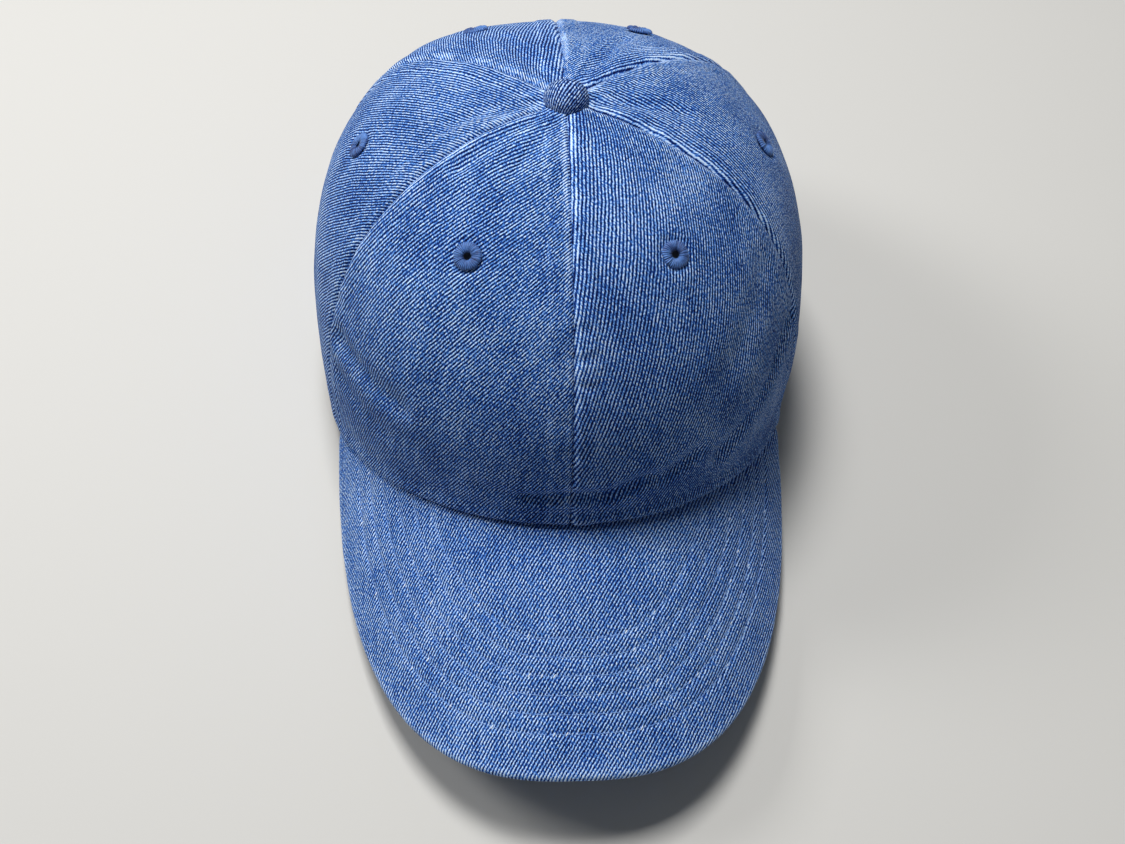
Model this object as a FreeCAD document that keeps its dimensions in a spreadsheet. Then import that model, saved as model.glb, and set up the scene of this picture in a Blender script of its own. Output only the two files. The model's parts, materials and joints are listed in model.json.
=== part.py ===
# Six-panel denim baseball cap with a curved visor and a strap-and-buckle closure.
# Millimetres. +Z up, the visor points to -Y, +X is the wearer's left.
# Every piece is modelled in the crown's own frame, where the plane of the hem is level,
# and then all of them get the same rest placement, which stands the cap on its visor
# edges and the back of its hem.
import FreeCAD
import Part
import math
import os
import Sketcher
from FreeCAD import Vector

doc = FreeCAD.newDocument("BaseballCap")
sheet = doc.addObject("Spreadsheet::Sheet", "Sizes")

drivingSizes = {
    # crown, measured on the outside of the cloth
    "crownHalfWidth": 82.3,
    "crownHalfLength": 98.9,
    "crownHeight": 115.6,
    "apexForward": 2.5,
    "frontFullness": 2.23,
    "sideFullness": 2.85,
    "backFullness": 2.06,
    "sideSwell": 0.03,
    "backSwell": 0.03,
    "frontSeamAngle": 66.5,
    "backSeamAngle": 120.6,
    "apexHoleRadius": 3.0,
    "clothThickness": 1.0,
    "seamGap": 0.1,
    "layerGap": 0.05,
    # how far round the hem takes to come down from the visor's corner, and how softly
    "hemBlendAngle": 15.0,
    "hemRounding": 2.0,
    # visor, bent about one axis that slopes down to the front; the bend is how far the
    # corners sag below the middle, and the corner inset is how far they are inside the
    # crown's outline
    "visorBend": 41.8,
    "visorRise": 33.3,
    "visorSlope": 14.7,
    "visorLength": 73.6,
    "visorCornerInset": 0.6,
    "visorSquareness": 2.47,
    "visorCornerAngle": 67.7,
    "visorCoverThickness": 1.0,
    "visorBoardThickness": 1.8,
    "visorEdgeInset": 1.6,
    # tapes over the inside of the seams, and the sweatband
    "tapeWidth": 12.0,
    "tapeThickness": 0.5,
    "tapeTopRadius": 9.0,
    "tapeEndGap": 1.0,
    "sweatbandHeight": 32.0,
    "sweatbandThickness": 1.2,
    "sweatbandHemGap": 1.5,
    "sweatbandEndAngle": 1.5,
    "pocketRampAngle": 24.0,
    "pocketSpareAngle": 2.0,
    # button on the apex
    "buttonRadius": 6.8,
    "buttonHeight": 4.6,
    "buttonCoverThickness": 0.7,
    "buttonShellThickness": 0.6,
    "buttonLift": 0.15,
    "rivetPlateThickness": 0.6,
    "rivetPlateGap": 0.15,
    "rivetShankRadius": 1.2,
    "rivetWasherRadius": 6.0,
    "rivetWasherThickness": 0.8,
    "rivetWasherGap": 0.3,
    # embroidered eyelets
    "eyeletRadius": 4.5,
    "eyeletHoleRadius": 1.4,
    "eyeletThread": 0.45,
    "eyeletSag": 0.2,
    # back opening and its binding
    "openingHalfWidth": 36.0,
    "openingHeight": 48.0,
    "bindingWidth": 5.0,
    "bindingThickness": 0.6,
    # strap, keeper tab and cam buckle; the cover angles are how far each end runs on
    # behind the back panels, round the strap's circle, the buckle keeps its own angle
    # inside the edge of the opening at the height of its top, and the fit angle is how
    # far past the opening the strap's circle is as far inside the crown as at the back
    "strapHeight": 20.0,
    "strapThickness": 2.0,
    "strapHemGap": 3.0,
    "strapInset": 2.4,
    "strapFitAngle": 9.06,
    "strapTravelAngle": 6.0,
    "strapSewnCoverAngle": 7.0,
    "strapTailCoverAngle": 12.0,
    "tabThickness": 1.4,
    "tabCoverAngle": 11.0,
    "tabEdgeInset": 0.5,
    "buckleInsetAngle": 7.77,
    "buckleHalfLength": 6.0,
    "bucklePlate": 0.9,
    "buckleClearance": 0.45,
    "earThickness": 1.0,
    "earRim": 1.0,
    "armOverlap": 2.0,
    "pinRadius": 1.0,
    "pinAcross": 3.0,
    "pinClearance": 0.05,
    "leverHubRadius": 1.9,
    "leverLength": 14.0,
    "leverThickness": 1.2,
    "leverTipRadius": 4.0,
    "camRise": 0.6,
    "keeperBarRadius": 0.9,
    "keeperBarAcross": 9.0,
    "keeperRim": 0.8,
    "keeperFold": 0.7,
}


def setSize(row, name, value):
    sheet.set(f"A{row}", name)
    sheet.set(f"B{row}", str(value))
    sheet.setAlias(f"B{row}", name)


for row, (name, value) in enumerate(drivingSizes.items(), start=1):
    setSize(row, name, value)
doc.recompute()


def size(name):
    return float(sheet.get(name))


# ---------------------------------------------------------------- crown surface
# A point on the crown is set by its angle round from the front, in degrees, and its
# rise, 0 at the hem and 1 at the apex. Seams are lines of constant angle, which lie in
# upright planes through the apex.

halfWidth = size("crownHalfWidth")
halfLength = size("crownHalfLength")
crownHeight = size("crownHeight")
visorThickness = 2 * size("visorCoverThickness") + size("visorBoardThickness")
slope = math.radians(size("visorSlope"))
visorCorner = math.radians(size("visorCornerAngle"))
visorHalfWidth = halfWidth * math.sin(visorCorner) - size("visorCornerInset")
visorRadius = (visorHalfWidth ** 2 + size("visorBend") ** 2) / (2 * size("visorBend"))


def smoothStep(value):
    value = min(max(value, 0.0), 1.0)
    return value * value * (3 - 2 * value)


def visorHeight(x, y, drop):
    # height of the visor's surface, drop below its top face, over a point of the plan
    across = math.sqrt(max((visorRadius - drop) ** 2 - x * x, 0.0))
    return size("visorRise") + math.tan(slope) * (y + halfLength) - (visorRadius - across) / math.cos(slope)


def hemHeight(angle):
    # the hem is level, and it rises over the visor to cover the visor's inner edge
    turn = math.radians(angle)
    corner = size("visorCornerAngle")
    blend, rounding = size("hemBlendAngle"), size("hemRounding")
    x, y = halfWidth * math.sin(turn), -halfLength * math.cos(turn)
    if abs(angle) >= corner + blend:
        return 0.0
    lift = visorHeight(x, y, visorThickness)
    lift = (lift + math.sqrt(lift * lift + rounding * rounding)) / 2
    return lift * (1 - smoothStep((abs(angle) - corner) / blend))


def outerPoint(angle, rise):
    turn = math.radians(angle)
    sine, cosine = math.sin(turn), math.cos(turn)
    front, back = max(cosine, 0) ** 2, max(-cosine, 0) ** 2
    side = 1 - front - back
    fullness = front * size("frontFullness") + side * size("sideFullness") + back * size("backFullness")
    swell = side * size("sideSwell") + back * size("backSwell")
    lean = min(max(rise, 0.0), 1.0) * math.pi / 2
    out, up = math.cos(lean), math.sin(lean)
    scale = (out ** fullness + up ** fullness) ** (-1 / fullness)
    out, up = out * scale, up * scale
    out *= 1 + swell * 6.75 * up * up * (1 - up)
    x = out * halfWidth * sine
    y = -size("apexForward") * (1 - out) - out * halfLength * cosine
    return Vector(x, y, hemHeight(angle) * (1 - up) + crownHeight * up)


def crownNormal(angle, rise):
    low, high = max(rise - 0.002, 0.0), min(rise + 0.002, 1.0)
    alongHem = outerPoint(angle + 0.2, rise) - outerPoint(angle - 0.2, rise)
    alongSeam = outerPoint(angle, high) - outerPoint(angle, low)
    return alongHem.cross(alongSeam).normalize()


def crownPoint(angle, rise, depth):
    return outerPoint(angle, rise) - crownNormal(angle, rise) * depth


def riseAbove(angle, height):
    # the rise of the point that is height above the hem
    turn = math.radians(angle)
    front, back = max(math.cos(turn), 0) ** 2, max(-math.cos(turn), 0) ** 2
    side = 1 - front - back
    fullness = front * size("frontFullness") + side * size("sideFullness") + back * size("backFullness")
    up = height / (crownHeight - hemHeight(angle))
    out = (1 - up ** fullness) ** (1 / fullness)
    return math.atan2(up, out) / (math.pi / 2)


def riseWithin(radius):
    # the rise of the ring that is radius from the apex
    return math.atan2(1.0, 2 * radius / (halfWidth + halfLength)) / (math.pi / 2)


# ---------------------------------------------------------------- solids from surfaces


def surfaceThrough(points):
    surface = Part.BSplineSurface()
    surface.interpolate(points)
    return surface


def patchSolid(pointAt, outerDepth, innerDepth, acrossCount, alongCount):
    # closes the space between two depths of one patch; pointAt takes across and along,
    # both from 0 to 1, and a depth
    faces, borders = [], []
    for depth in (outerDepth, innerDepth):
        rows = [
            [pointAt(i / (acrossCount - 1), j / (alongCount - 1), depth) for j in range(alongCount)]
            for i in range(acrossCount)
        ]
        surface = surfaceThrough(rows)
        u0, u1, v0, v1 = surface.bounds()
        faces.append(surface.toShape())
        borders.append([surface.uIso(u0), surface.uIso(u1), surface.vIso(v0), surface.vIso(v1)])
    for outerCurve, innerCurve in zip(*borders):
        faces.append(Part.makeRuledSurface(outerCurve.toShape(), innerCurve.toShape()))
    shell = Part.makeShell(faces)
    shell.sewShape()
    solid = Part.makeSolid(Part.Shell(shell.Faces) if shell.ShapeType != "Shell" else shell)
    if solid.Volume < 0:
        solid.reverse()
    return solid


def crownPatch(angleAt, lowRise, highRise, outerDepth, innerDepth, acrossCount=13, alongCount=17):
    # angleAt takes across and rise, and lowRise and highRise take the angle
    def pointAt(across, along, depth):
        guess = angleAt(across, 0.5)
        rise = lowRise(guess) + along * (highRise(guess) - lowRise(guess))
        return crownPoint(angleAt(across, rise), rise, depth)

    return patchSolid(pointAt, outerDepth, innerDepth, acrossCount, alongCount)


def tangentScale(angle, rise):
    # millimetres round the crown for one degree of angle
    step = outerPoint(angle + 0.5, rise) - outerPoint(angle - 0.5, rise)
    return step.Length


pieces = []


def feature(label, shape):
    piece = doc.addObject("Part::Feature", label)
    piece.Label = label
    piece.Shape = shape
    pieces.append(piece)
    return piece


# ---------------------------------------------------------------- crown panels

cloth = size("clothThickness")
gap = size("layerGap")
apexRise = riseWithin(size("apexHoleRadius"))
sides = {"left": 1, "right": -1}
seams = {"front": (0.0, size("frontSeamAngle")), "side": (size("frontSeamAngle"), size("backSeamAngle"))}
seams["back"] = (size("backSeamAngle"), 180.0)


def archPrism(grow):
    # upright arch of the back opening, pushed through the back of the crown
    half = size("openingHalfWidth") + grow
    top = size("openingHeight") + grow
    spring = top - half
    start = Vector(-half, 0, -10)
    outline = [
        Part.LineSegment(start, Vector(-half, 0, spring)).toShape(),
        Part.Arc(Vector(-half, 0, spring), Vector(0, 0, top), Vector(half, 0, spring)).toShape(),
        Part.LineSegment(Vector(half, 0, spring), Vector(half, 0, -10)).toShape(),
        Part.LineSegment(Vector(half, 0, -10), start).toShape(),
    ]
    prism = Part.Face(Part.Wire(outline)).extrude(Vector(0, halfLength * 1.2, 0))
    return prism


def panelSolid(start, end):
    halfGap = size("seamGap") / 2

    def angleAt(across, rise):
        trim = halfGap / tangentScale((start + end) / 2, rise)
        return start + trim + across * (end - start - 2 * trim)

    return crownPatch(angleAt, lambda angle: 0.0, lambda angle: apexRise, 0.0, cloth)


def eyeletSpot(angle, rise):
    point = outerPoint(angle, rise)
    turn = FreeCAD.Rotation(Vector(0, 0, 1), crownNormal(angle, rise))
    return FreeCAD.Placement(point, turn)


# angle and rise of the eyelet in each kind of panel
eyelets = {"front": (35.0, 0.6), "side": (91.0, 0.53), "back": (147.0, 0.62)}
clearHole = size("eyeletHoleRadius") + size("eyeletThread") + gap

for place, (start, end) in seams.items():
    for side, sign in sides.items():
        first, last = sorted((sign * start, sign * end))
        solid = panelSolid(first, last)
        if place == "back":
            solid = solid.cut(archPrism(0.0))
        angle, rise = eyelets[place]
        punch = Part.makeCylinder(clearHole, 6 * cloth, Vector(0, 0, -3 * cloth))
        punch.Placement = eyeletSpot(sign * angle, rise)
        feature(f"{place}_panel_{side}", solid.cut(punch))

# ---------------------------------------------------------------- seam tapes

tapeOuter = cloth + gap
tapeInner = tapeOuter + size("tapeThickness")


def tapeSolid(seam, lowHeight):
    def angleAt(across, rise):
        reach = size("tapeWidth") / 2 / tangentScale(seam, rise)
        return seam + (2 * across - 1) * reach

    return crownPatch(
        angleAt,
        lambda angle: riseAbove(seam, lowHeight),
        lambda angle: riseWithin(size("tapeTopRadius") + size("tapeWidth") / 2),
        tapeOuter,
        tapeInner,
        acrossCount=5,
        alongCount=25,
    )


tapeStart = size("sweatbandHemGap") + size("layerGap")
backTapeStart = size("openingHeight") + size("bindingWidth") + size("tapeEndGap")
feature("front_seam_tape", tapeSolid(0.0, tapeStart))
feature("back_seam_tape", tapeSolid(180.0, backTapeStart))
for side, sign in sides.items():
    feature(f"front_side_seam_tape_{side}", tapeSolid(sign * size("frontSeamAngle"), tapeStart))
    feature(f"side_back_seam_tape_{side}", tapeSolid(sign * size("backSeamAngle"), tapeStart))

# ---------------------------------------------------------------- strap circle
# The strap is a round band inside the back of the crown. Its circle passes the back
# centre and the fit angle at the same distance inside the cloth.

openingAngle = math.degrees(math.asin(size("openingHalfWidth") / halfWidth))
fitTurn = math.radians(openingAngle + size("strapFitAngle"))
backY = halfLength - cloth
sideX = (halfWidth - cloth) * math.sin(fitTurn)
sideY = (halfLength - cloth) * math.cos(fitTurn)
strapCentreY = (sideX ** 2 + sideY ** 2 - backY ** 2) / (2 * (sideY - backY))
strapOuter = backY - strapCentreY - size("strapInset")
strapInner = strapOuter - size("strapThickness")
strapMiddle = (strapOuter + strapInner) / 2
strapBase = size("strapHemGap")
tabOuter = strapInner - size("buckleClearance")
tabInner = tabOuter - size("tabThickness")
earInside = size("strapHeight") / 2 + size("buckleClearance")
earOutside = earInside + size("earThickness")


def edgeAngleAt(height):
    # angle round the strap's circle of the edge of the opening's arch
    half = size("openingHalfWidth")
    aboveSpring = max(height - (size("openingHeight") - half), 0.0)
    return math.degrees(math.asin(math.sqrt(half ** 2 - aboveSpring ** 2) / strapMiddle))


edgeAngle = edgeAngleAt(0.0)
strapSewnAngle = edgeAngle + size("strapTravelAngle") + size("strapSewnCoverAngle")
strapTailAngle = edgeAngle + size("strapTravelAngle") + size("strapTailCoverAngle")
tabEndAngle = edgeAngle + size("tabCoverAngle")
buckleAngle = edgeAngleAt(strapBase + size("strapHeight") / 2 + earOutside) - size("buckleInsetAngle")

derivedSizes = {
    "strapOuterRadius": strapOuter,
    "strapInnerRadius": strapInner,
    "strapSweepAngle": strapTailAngle + strapSewnAngle,
}
for row, (name, value) in enumerate(derivedSizes.items(), start=len(drivingSizes) + 2):
    setSize(row, name, round(value, 4))
doc.recompute()

# ---------------------------------------------------------------- sweatband
# It lies on the seam tapes, and at the back it stands off to make the pockets that hold
# the strap and the keeper tab.

sweatbandEnd = 180.0 - openingAngle - size("sweatbandEndAngle")
pocketDepth = strapOuter - tabInner + size("strapInset") + 2 * size("buckleClearance")
hiddenEnd = math.radians(strapTailAngle + size("strapTravelAngle"))
pocketEnd = math.degrees(math.asin(strapMiddle * math.sin(hiddenEnd) / halfWidth))
pocketAngle = 180.0 - pocketEnd - size("pocketSpareAngle")


def sweatbandDepth(angle):
    lying = tapeInner + gap
    standing = cloth + pocketDepth
    return lying + (standing - lying) * smoothStep((abs(angle) - pocketAngle) / size("pocketRampAngle") + 1)


def sweatbandPoint(across, along, depth):
    angle = (2 * across - 1) * sweatbandEnd
    low = riseAbove(angle, size("sweatbandHemGap"))
    high = riseAbove(angle, size("sweatbandHeight"))
    return crownPoint(angle, low + along * (high - low), sweatbandDepth(angle) + depth)


feature("sweatband", patchSolid(sweatbandPoint, 0.0, size("sweatbandThickness"), 57, 5))

# ---------------------------------------------------------------- binding of the opening
# A strip folded over the edge of the back panels, a layer's gap off both faces of the
# cloth. It is cut from patches of the crown that run past the strip all round.

wrap = size("bindingThickness") + gap
spareAngle, spareHeight = 12.0, 8.0
bindingReach = openingAngle + spareAngle
bindingTop = riseAbove(180.0, size("openingHeight") + size("bindingWidth") + spareHeight)


def backPatch(outerDepth, innerDepth):
    return crownPatch(
        lambda across, rise: 180.0 + (2 * across - 1) * bindingReach,
        lambda angle: 0.0,
        lambda angle: bindingTop,
        outerDepth,
        innerDepth,
    )


sleeve = backPatch(-wrap, cloth + wrap).common(archPrism(size("bindingWidth"))).cut(archPrism(-wrap))
feature("opening_binding", sleeve.cut(backPatch(-gap, cloth + gap).cut(archPrism(-gap))))

# ---------------------------------------------------------------- visor
# Layers of one tube, cut to the visor's outline in plan and to the crown's outline. The
# covers meet half way down the edge and hold the board between them.


def visorLayer(topDrop, bottomDrop):
    # starts above the middle of the crown and runs well past the visor's front
    reach = 1.5 * (halfLength + size("visorLength"))
    along = Vector(0, -math.cos(slope), -math.sin(slope))
    start = Vector(0, 0, visorHeight(0, 0, visorRadius))
    outer = Part.makeCylinder(visorRadius - topDrop, reach, start, along)
    inner = Part.makeCylinder(visorRadius - bottomDrop, reach, start, along)
    return outer.cut(inner)


def visorPlan(inset):
    # the outline is a squared-off ellipse from corner to corner, closed behind the seam;
    # the prism is high enough for the visor's bend and slope, and meets only the upper
    # half of the tube
    half = visorHalfWidth - inset
    backLine = -halfLength * math.cos(visorCorner)
    reach = halfLength + size("visorLength") - inset + backLine
    power = 2 / size("visorSquareness")
    outline = []
    for step in range(25):
        turn = math.radians(-90 + 7.5 * step)
        across = math.copysign(abs(math.sin(turn)) ** power, math.sin(turn))
        outline.append(Vector(half * across, backLine - reach * abs(math.cos(turn)) ** power, 0))
    outline[0].y = outline[-1].y = backLine
    curve = Part.BSplineCurve()
    curve.interpolate(outline)
    closing = Part.LineSegment(outline[-1], outline[0]).toShape()
    plan = Part.Face(Part.Wire([curve.toShape(), closing]))
    prism = plan.extrude(Vector(0, 0, 2 * size("visorBend")))
    prism.translate(Vector(0, 0, size("visorRise") - 1.7 * size("visorBend")))
    return prism


def crownPrism():
    ellipse = Part.Ellipse(Vector(0, 0, 0), halfLength + gap, halfWidth + gap)
    face = Part.Face(Part.Wire(ellipse.toShape()))
    prism = face.extrude(Vector(0, 0, 2 * crownHeight))
    prism.rotate(Vector(0, 0, 0), Vector(0, 0, 1), 90)
    prism.translate(Vector(0, 0, -crownHeight))
    return prism


cover = size("visorCoverThickness")
middleDrop = visorThickness / 2
fullPlan = visorPlan(0.0).cut(crownPrism())
boardPlan = visorPlan(size("visorEdgeInset")).cut(crownPrism())
board = visorLayer(cover, visorThickness - cover).common(boardPlan)
feature("visor_board", board)
feature("visor_upper_cover", visorLayer(0.0, middleDrop).common(fullPlan).cut(board))
feature("visor_lower_cover", visorLayer(middleDrop, visorThickness).common(fullPlan).cut(board))

# ---------------------------------------------------------------- built-up round pieces


def discBody(label, discs, bore=None):
    # a body of stacked round pads, each given as radius, start and height expressions,
    # with an optional through bore
    body = doc.addObject("PartDesign::Body", label)
    body.Label = label
    planes = {plane.Role: plane for plane in body.Origin.OriginFeatures}
    steps = [("Pad", disc) for disc in discs]
    if bore:
        steps.append(("Pocket", (bore, discs[0][1], "0")))
    for number, (kind, (radius, start, height)) in enumerate(steps):
        sketch = body.newObject("Sketcher::SketchObject", f"{label}_circle_{number}")
        sketch.AttachmentSupport = (planes["XY_Plane"], [""])
        sketch.MapMode = "FlatFace"
        sketch.addGeometry(Part.Circle(Vector(0, 0, 0), Vector(0, 0, 1), 1.0), False)
        sketch.addConstraint(Sketcher.Constraint("Coincident", 0, 3, -1, 1))
        sketch.addConstraint(Sketcher.Constraint("Radius", 0, 1.0))
        sketch.setExpression("Constraints[1]", radius)
        sketch.setExpression("AttachmentOffset.Base.z", start)
        step = body.newObject(f"PartDesign::{kind}", f"{label}_{kind.lower()}_{number}")
        step.Profile = sketch
        if kind == "Pad":
            step.setExpression("Length", height)
        else:
            step.Type = "ThroughAll"
            step.Reversed = True
        doc.recompute()
    pieces.append(body)
    return body


eyeletDiscs = [
    ("Sizes.eyeletRadius", "-Sizes.clothThickness - Sizes.eyeletSag - Sizes.eyeletThread", "Sizes.eyeletThread"),
    (
        "Sizes.eyeletHoleRadius + Sizes.eyeletThread",
        "-Sizes.clothThickness - Sizes.eyeletSag",
        "Sizes.clothThickness + Sizes.eyeletSag + Sizes.layerGap",
    ),
    ("Sizes.eyeletRadius", "Sizes.layerGap", "Sizes.eyeletThread"),
]
for place, (angle, rise) in eyelets.items():
    for side, sign in sides.items():
        eyelet = discBody(f"{place}_eyelet_{side}", eyeletDiscs, "Sizes.eyeletHoleRadius")
        eyelet.Placement = eyeletSpot(sign * angle, rise)

apexSpot = FreeCAD.Placement(Vector(0, -size("apexForward"), crownHeight), FreeCAD.Rotation())
washerTop = "-Sizes.clothThickness - Sizes.rivetWasherGap"
rivet = discBody(
    "button_rivet",
    [
        ("Sizes.rivetWasherRadius", f"{washerTop} - Sizes.rivetWasherThickness", "Sizes.rivetWasherThickness"),
        ("Sizes.rivetShankRadius", washerTop, "Sizes.clothThickness + Sizes.rivetWasherGap + Sizes.buttonLift"),
        (
            "Sizes.buttonRadius - Sizes.buttonCoverThickness - Sizes.buttonShellThickness - Sizes.rivetPlateGap",
            "Sizes.buttonLift",
            "Sizes.rivetPlateThickness",
        ),
    ],
)
rivet.Placement = apexSpot


def dome(name, inset):
    # upper half of an ellipsoid, inset from the outside of the button
    half = doc.addObject("Part::Ellipsoid", name)
    half.Angle1 = 0
    half.setExpression("Radius1", f"Sizes.buttonHeight - ({inset})")
    half.setExpression("Radius2", f"Sizes.buttonRadius - ({inset})")
    half.setExpression("Radius3", f"Sizes.buttonRadius - ({inset})")
    return half


def domeShell(label, outerInset, innerInset):
    shell = doc.addObject("Part::Cut", label)
    shell.Label = label
    shell.Base = dome(f"{label}_outside", outerInset)
    shell.Tool = dome(f"{label}_inside", innerInset)
    shell.Placement = apexSpot.multiply(FreeCAD.Placement(Vector(0, 0, size("buttonLift")), FreeCAD.Rotation()))
    pieces.append(shell)


coverInset = "Sizes.buttonCoverThickness"
shellInset = "Sizes.buttonCoverThickness + Sizes.buttonShellThickness"
domeShell("button_cover", "0", coverInset)
domeShell("button_shell", coverInset, shellInset)

# ---------------------------------------------------------------- closure


def solidObject(kind, name, values):
    # a Part primitive whose properties are bound to expressions
    item = doc.addObject(kind, name)
    for attribute, expression in values.items():
        item.setExpression(attribute, expression)
    return item


def tubeSector(name, outerRadius, innerRadius, height, startAngle, sweep):
    # angles run from the back centre towards the wearer's left
    parts = []
    for word, radius in (("outside", outerRadius), ("inside", innerRadius)):
        item = solidObject("Part::Cylinder", f"{name}_{word}", {"Radius": radius, "Height": height, "Angle": sweep})
        item.Placement = FreeCAD.Placement(Vector(0, 0, 0), FreeCAD.Rotation(Vector(0, 0, 1), 90.0 - startAngle))
        parts.append(item)
    cut = doc.addObject("Part::Cut", name)
    cut.Base, cut.Tool = parts
    return cut


strapSpot = FreeCAD.Placement(Vector(0, strapCentreY, strapBase), FreeCAD.Rotation())
strap = tubeSector(
    "strap",
    "Sizes.strapOuterRadius",
    "Sizes.strapInnerRadius",
    "Sizes.strapHeight",
    strapTailAngle,
    "Sizes.strapSweepAngle",
)
strap.Label = "strap"
strap.Placement = strapSpot
pieces.append(strap)

# The buckle's own frame: X along the strap, Y outwards, Z up, origin in the middle of the
# strap's section.
buckleTurn = math.radians(buckleAngle)
buckleOrigin = Vector(
    strapMiddle * math.sin(buckleTurn),
    strapCentreY + strapMiddle * math.cos(buckleTurn),
    strapBase + size("strapHeight") / 2,
)
buckleSpot = FreeCAD.Placement(buckleOrigin, FreeCAD.Rotation(Vector(0, 0, 1), -buckleAngle))

strapSag = size("buckleHalfLength") ** 2 / (2 * strapMiddle)
plateTop = -(size("strapThickness") / 2 + strapSag + size("buckleClearance"))
plateBottom = plateTop - size("bucklePlate")
pinOut = size("strapThickness") / 2 + size("buckleClearance") + size("leverHubRadius") + size("camRise")
earTop = pinOut + size("pinRadius") + size("earRim")
keeperAcross = size("keeperBarAcross")
keeperWrap = size("keeperBarRadius") + gap + size("keeperFold")
keeperSag = keeperAcross ** 2 / (2 * strapMiddle)
keeperOut = -(size("strapThickness") / 2 + keeperSag + size("buckleClearance") + keeperWrap)
keeperReach = size("keeperBarRadius") + size("keeperRim")


def boxBetween(low, high):
    return Part.makeBox(high[0] - low[0], high[1] - low[1], high[2] - low[2], Vector(*low))


def uprightRod(radius, x, y, halfSpan):
    return Part.makeCylinder(radius, 2 * halfSpan, Vector(x, y, -halfSpan))


halfFrame = size("buckleHalfLength")
buckleFrame = boxBetween((-halfFrame, plateBottom, -earOutside), (halfFrame, plateTop, earOutside))
for direction in (-1, 1):
    low, high = sorted((direction * earInside, direction * earOutside))
    ear = boxBetween((-halfFrame, plateBottom, low), (halfFrame, earTop, high))
    arm = boxBetween(
        (halfFrame - size("armOverlap"), keeperOut - keeperReach, low),
        (keeperAcross + keeperReach, plateTop, high),
    )
    buckleFrame = buckleFrame.fuse(ear).fuse(arm)
buckleFrame = buckleFrame.fuse(uprightRod(size("keeperBarRadius"), keeperAcross, keeperOut, earInside))
buckleFrame = buckleFrame.cut(uprightRod(size("pinRadius"), size("pinAcross"), pinOut, earOutside + 1))
feature("buckle_frame", buckleFrame.removeSplitter()).Placement = buckleSpot

pin = uprightRod(size("pinRadius"), size("pinAcross"), pinOut, earOutside)
feature("buckle_pin", pin).Placement = buckleSpot

leverHalf = earInside - size("buckleClearance")
hub = uprightRod(size("leverHubRadius"), size("pinAcross"), pinOut, leverHalf)
cam = uprightRod(size("leverHubRadius"), size("pinAcross"), pinOut - size("camRise"), leverHalf)
blade = boxBetween(
    (size("pinAcross") - size("leverLength"), pinOut - size("leverThickness") / 2, -leverHalf),
    (size("pinAcross"), pinOut + size("leverThickness") / 2, leverHalf),
)
bladeEnds = [edge for edge in blade.Edges if edge.BoundBox.XLength < 0.01 and edge.BoundBox.ZLength < 0.01]
bladeEnds = [edge for edge in bladeEnds if edge.BoundBox.XMin < size("pinAcross") - 1]
blade = blade.makeFillet(size("leverTipRadius"), bladeEnds)
leverBore = uprightRod(size("pinRadius") + size("pinClearance"), size("pinAcross"), pinOut, leverHalf + 1)
feature("buckle_lever", hub.fuse([cam, blade]).cut(leverBore).removeSplitter()).Placement = buckleSpot

# The keeper tab wraps the bar of the buckle and runs on inside the strap to its sewn end.
barTurn = buckleTurn + math.atan2(keeperAcross, strapMiddle + keeperOut)
barRadius = math.hypot(keeperAcross, strapMiddle + keeperOut)
tabHeight = size("strapHeight") - 2 * size("tabEdgeInset")
tabStart = math.degrees(barTurn)
tabSweep = tabEndAngle - tabStart
band = Part.makeCylinder(tabOuter, tabHeight, Vector(0, 0, 0), Vector(0, 0, 1), tabSweep)
band = band.cut(Part.makeCylinder(tabInner, tabHeight))
band.rotate(Vector(0, 0, 0), Vector(0, 0, 1), 90.0 - tabEndAngle)
barSpot = Vector(barRadius * math.sin(barTurn), barRadius * math.cos(barTurn), 0)
fold = Part.makeCylinder(keeperWrap, tabHeight, barSpot)
barHole = Part.makeCylinder(size("keeperBarRadius") + gap, tabHeight, barSpot)
tab = feature("keeper_tab", band.fuse(fold).cut(barHole).removeSplitter())
tabBase = strapBase + size("tabEdgeInset")
tab.Placement = FreeCAD.Placement(Vector(0, strapCentreY, tabBase), FreeCAD.Rotation())

# ---------------------------------------------------------------- rest placement
# Tip the cap back until the lowest part of the visor's edge is level with the lowest part
# of the back of its hem, then lift it so that both stand on Z = 0.

doc.recompute()
byLabel = {piece.Label: piece for piece in pieces}


def edgePoints(labels):
    edges = [edge for label in labels for edge in byLabel[label].Shape.Edges]
    return [point for edge in edges for point in edge.discretize(Number=80)]


visorPoints = edgePoints(["visor_lower_cover"])
rearPoints = edgePoints(["opening_binding", "back_panel_left", "back_panel_right"])
tip = 0.0
for attempt in range(6):
    restTurn = FreeCAD.Rotation(Vector(1, 0, 0), -math.degrees(tip))
    frontFoot = min(visorPoints, key=lambda point: restTurn.multVec(point).z)
    rearFoot = min(rearPoints, key=lambda point: restTurn.multVec(point).z)
    tip = math.atan2(rearFoot.z - frontFoot.z, rearFoot.y - frontFoot.y)
restTurn = FreeCAD.Rotation(Vector(1, 0, 0), -math.degrees(tip))
footHeight = restTurn.multVec(rearFoot).z
rest = FreeCAD.Placement(Vector(0, 0, -footHeight), restTurn)
for piece in pieces:
    piece.Placement = rest.multiply(piece.Placement)
doc.recompute()

# ---------------------------------------------------------------- checks and files

for item in doc.Objects:
    if "Invalid" in item.State or "Error" in item.State:
        raise RuntimeError(f"{item.Label} did not build: {item.State}")
for piece in pieces:
    if piece.Shape.isNull() or not piece.Shape.isValid() or len(piece.Shape.Solids) != 1:
        raise RuntimeError(f"{piece.Label} is not one valid solid")

os.makedirs("parts", exist_ok=True)
for piece in pieces:
    piece.Shape.exportStep(f"parts/{piece.Label}.step")
    box = piece.Shape.BoundBox
    print(f"{piece.Label:28s} {piece.Shape.Volume:10.1f} mm3  z {box.ZMin:7.2f} {box.ZMax:7.2f}")

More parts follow.
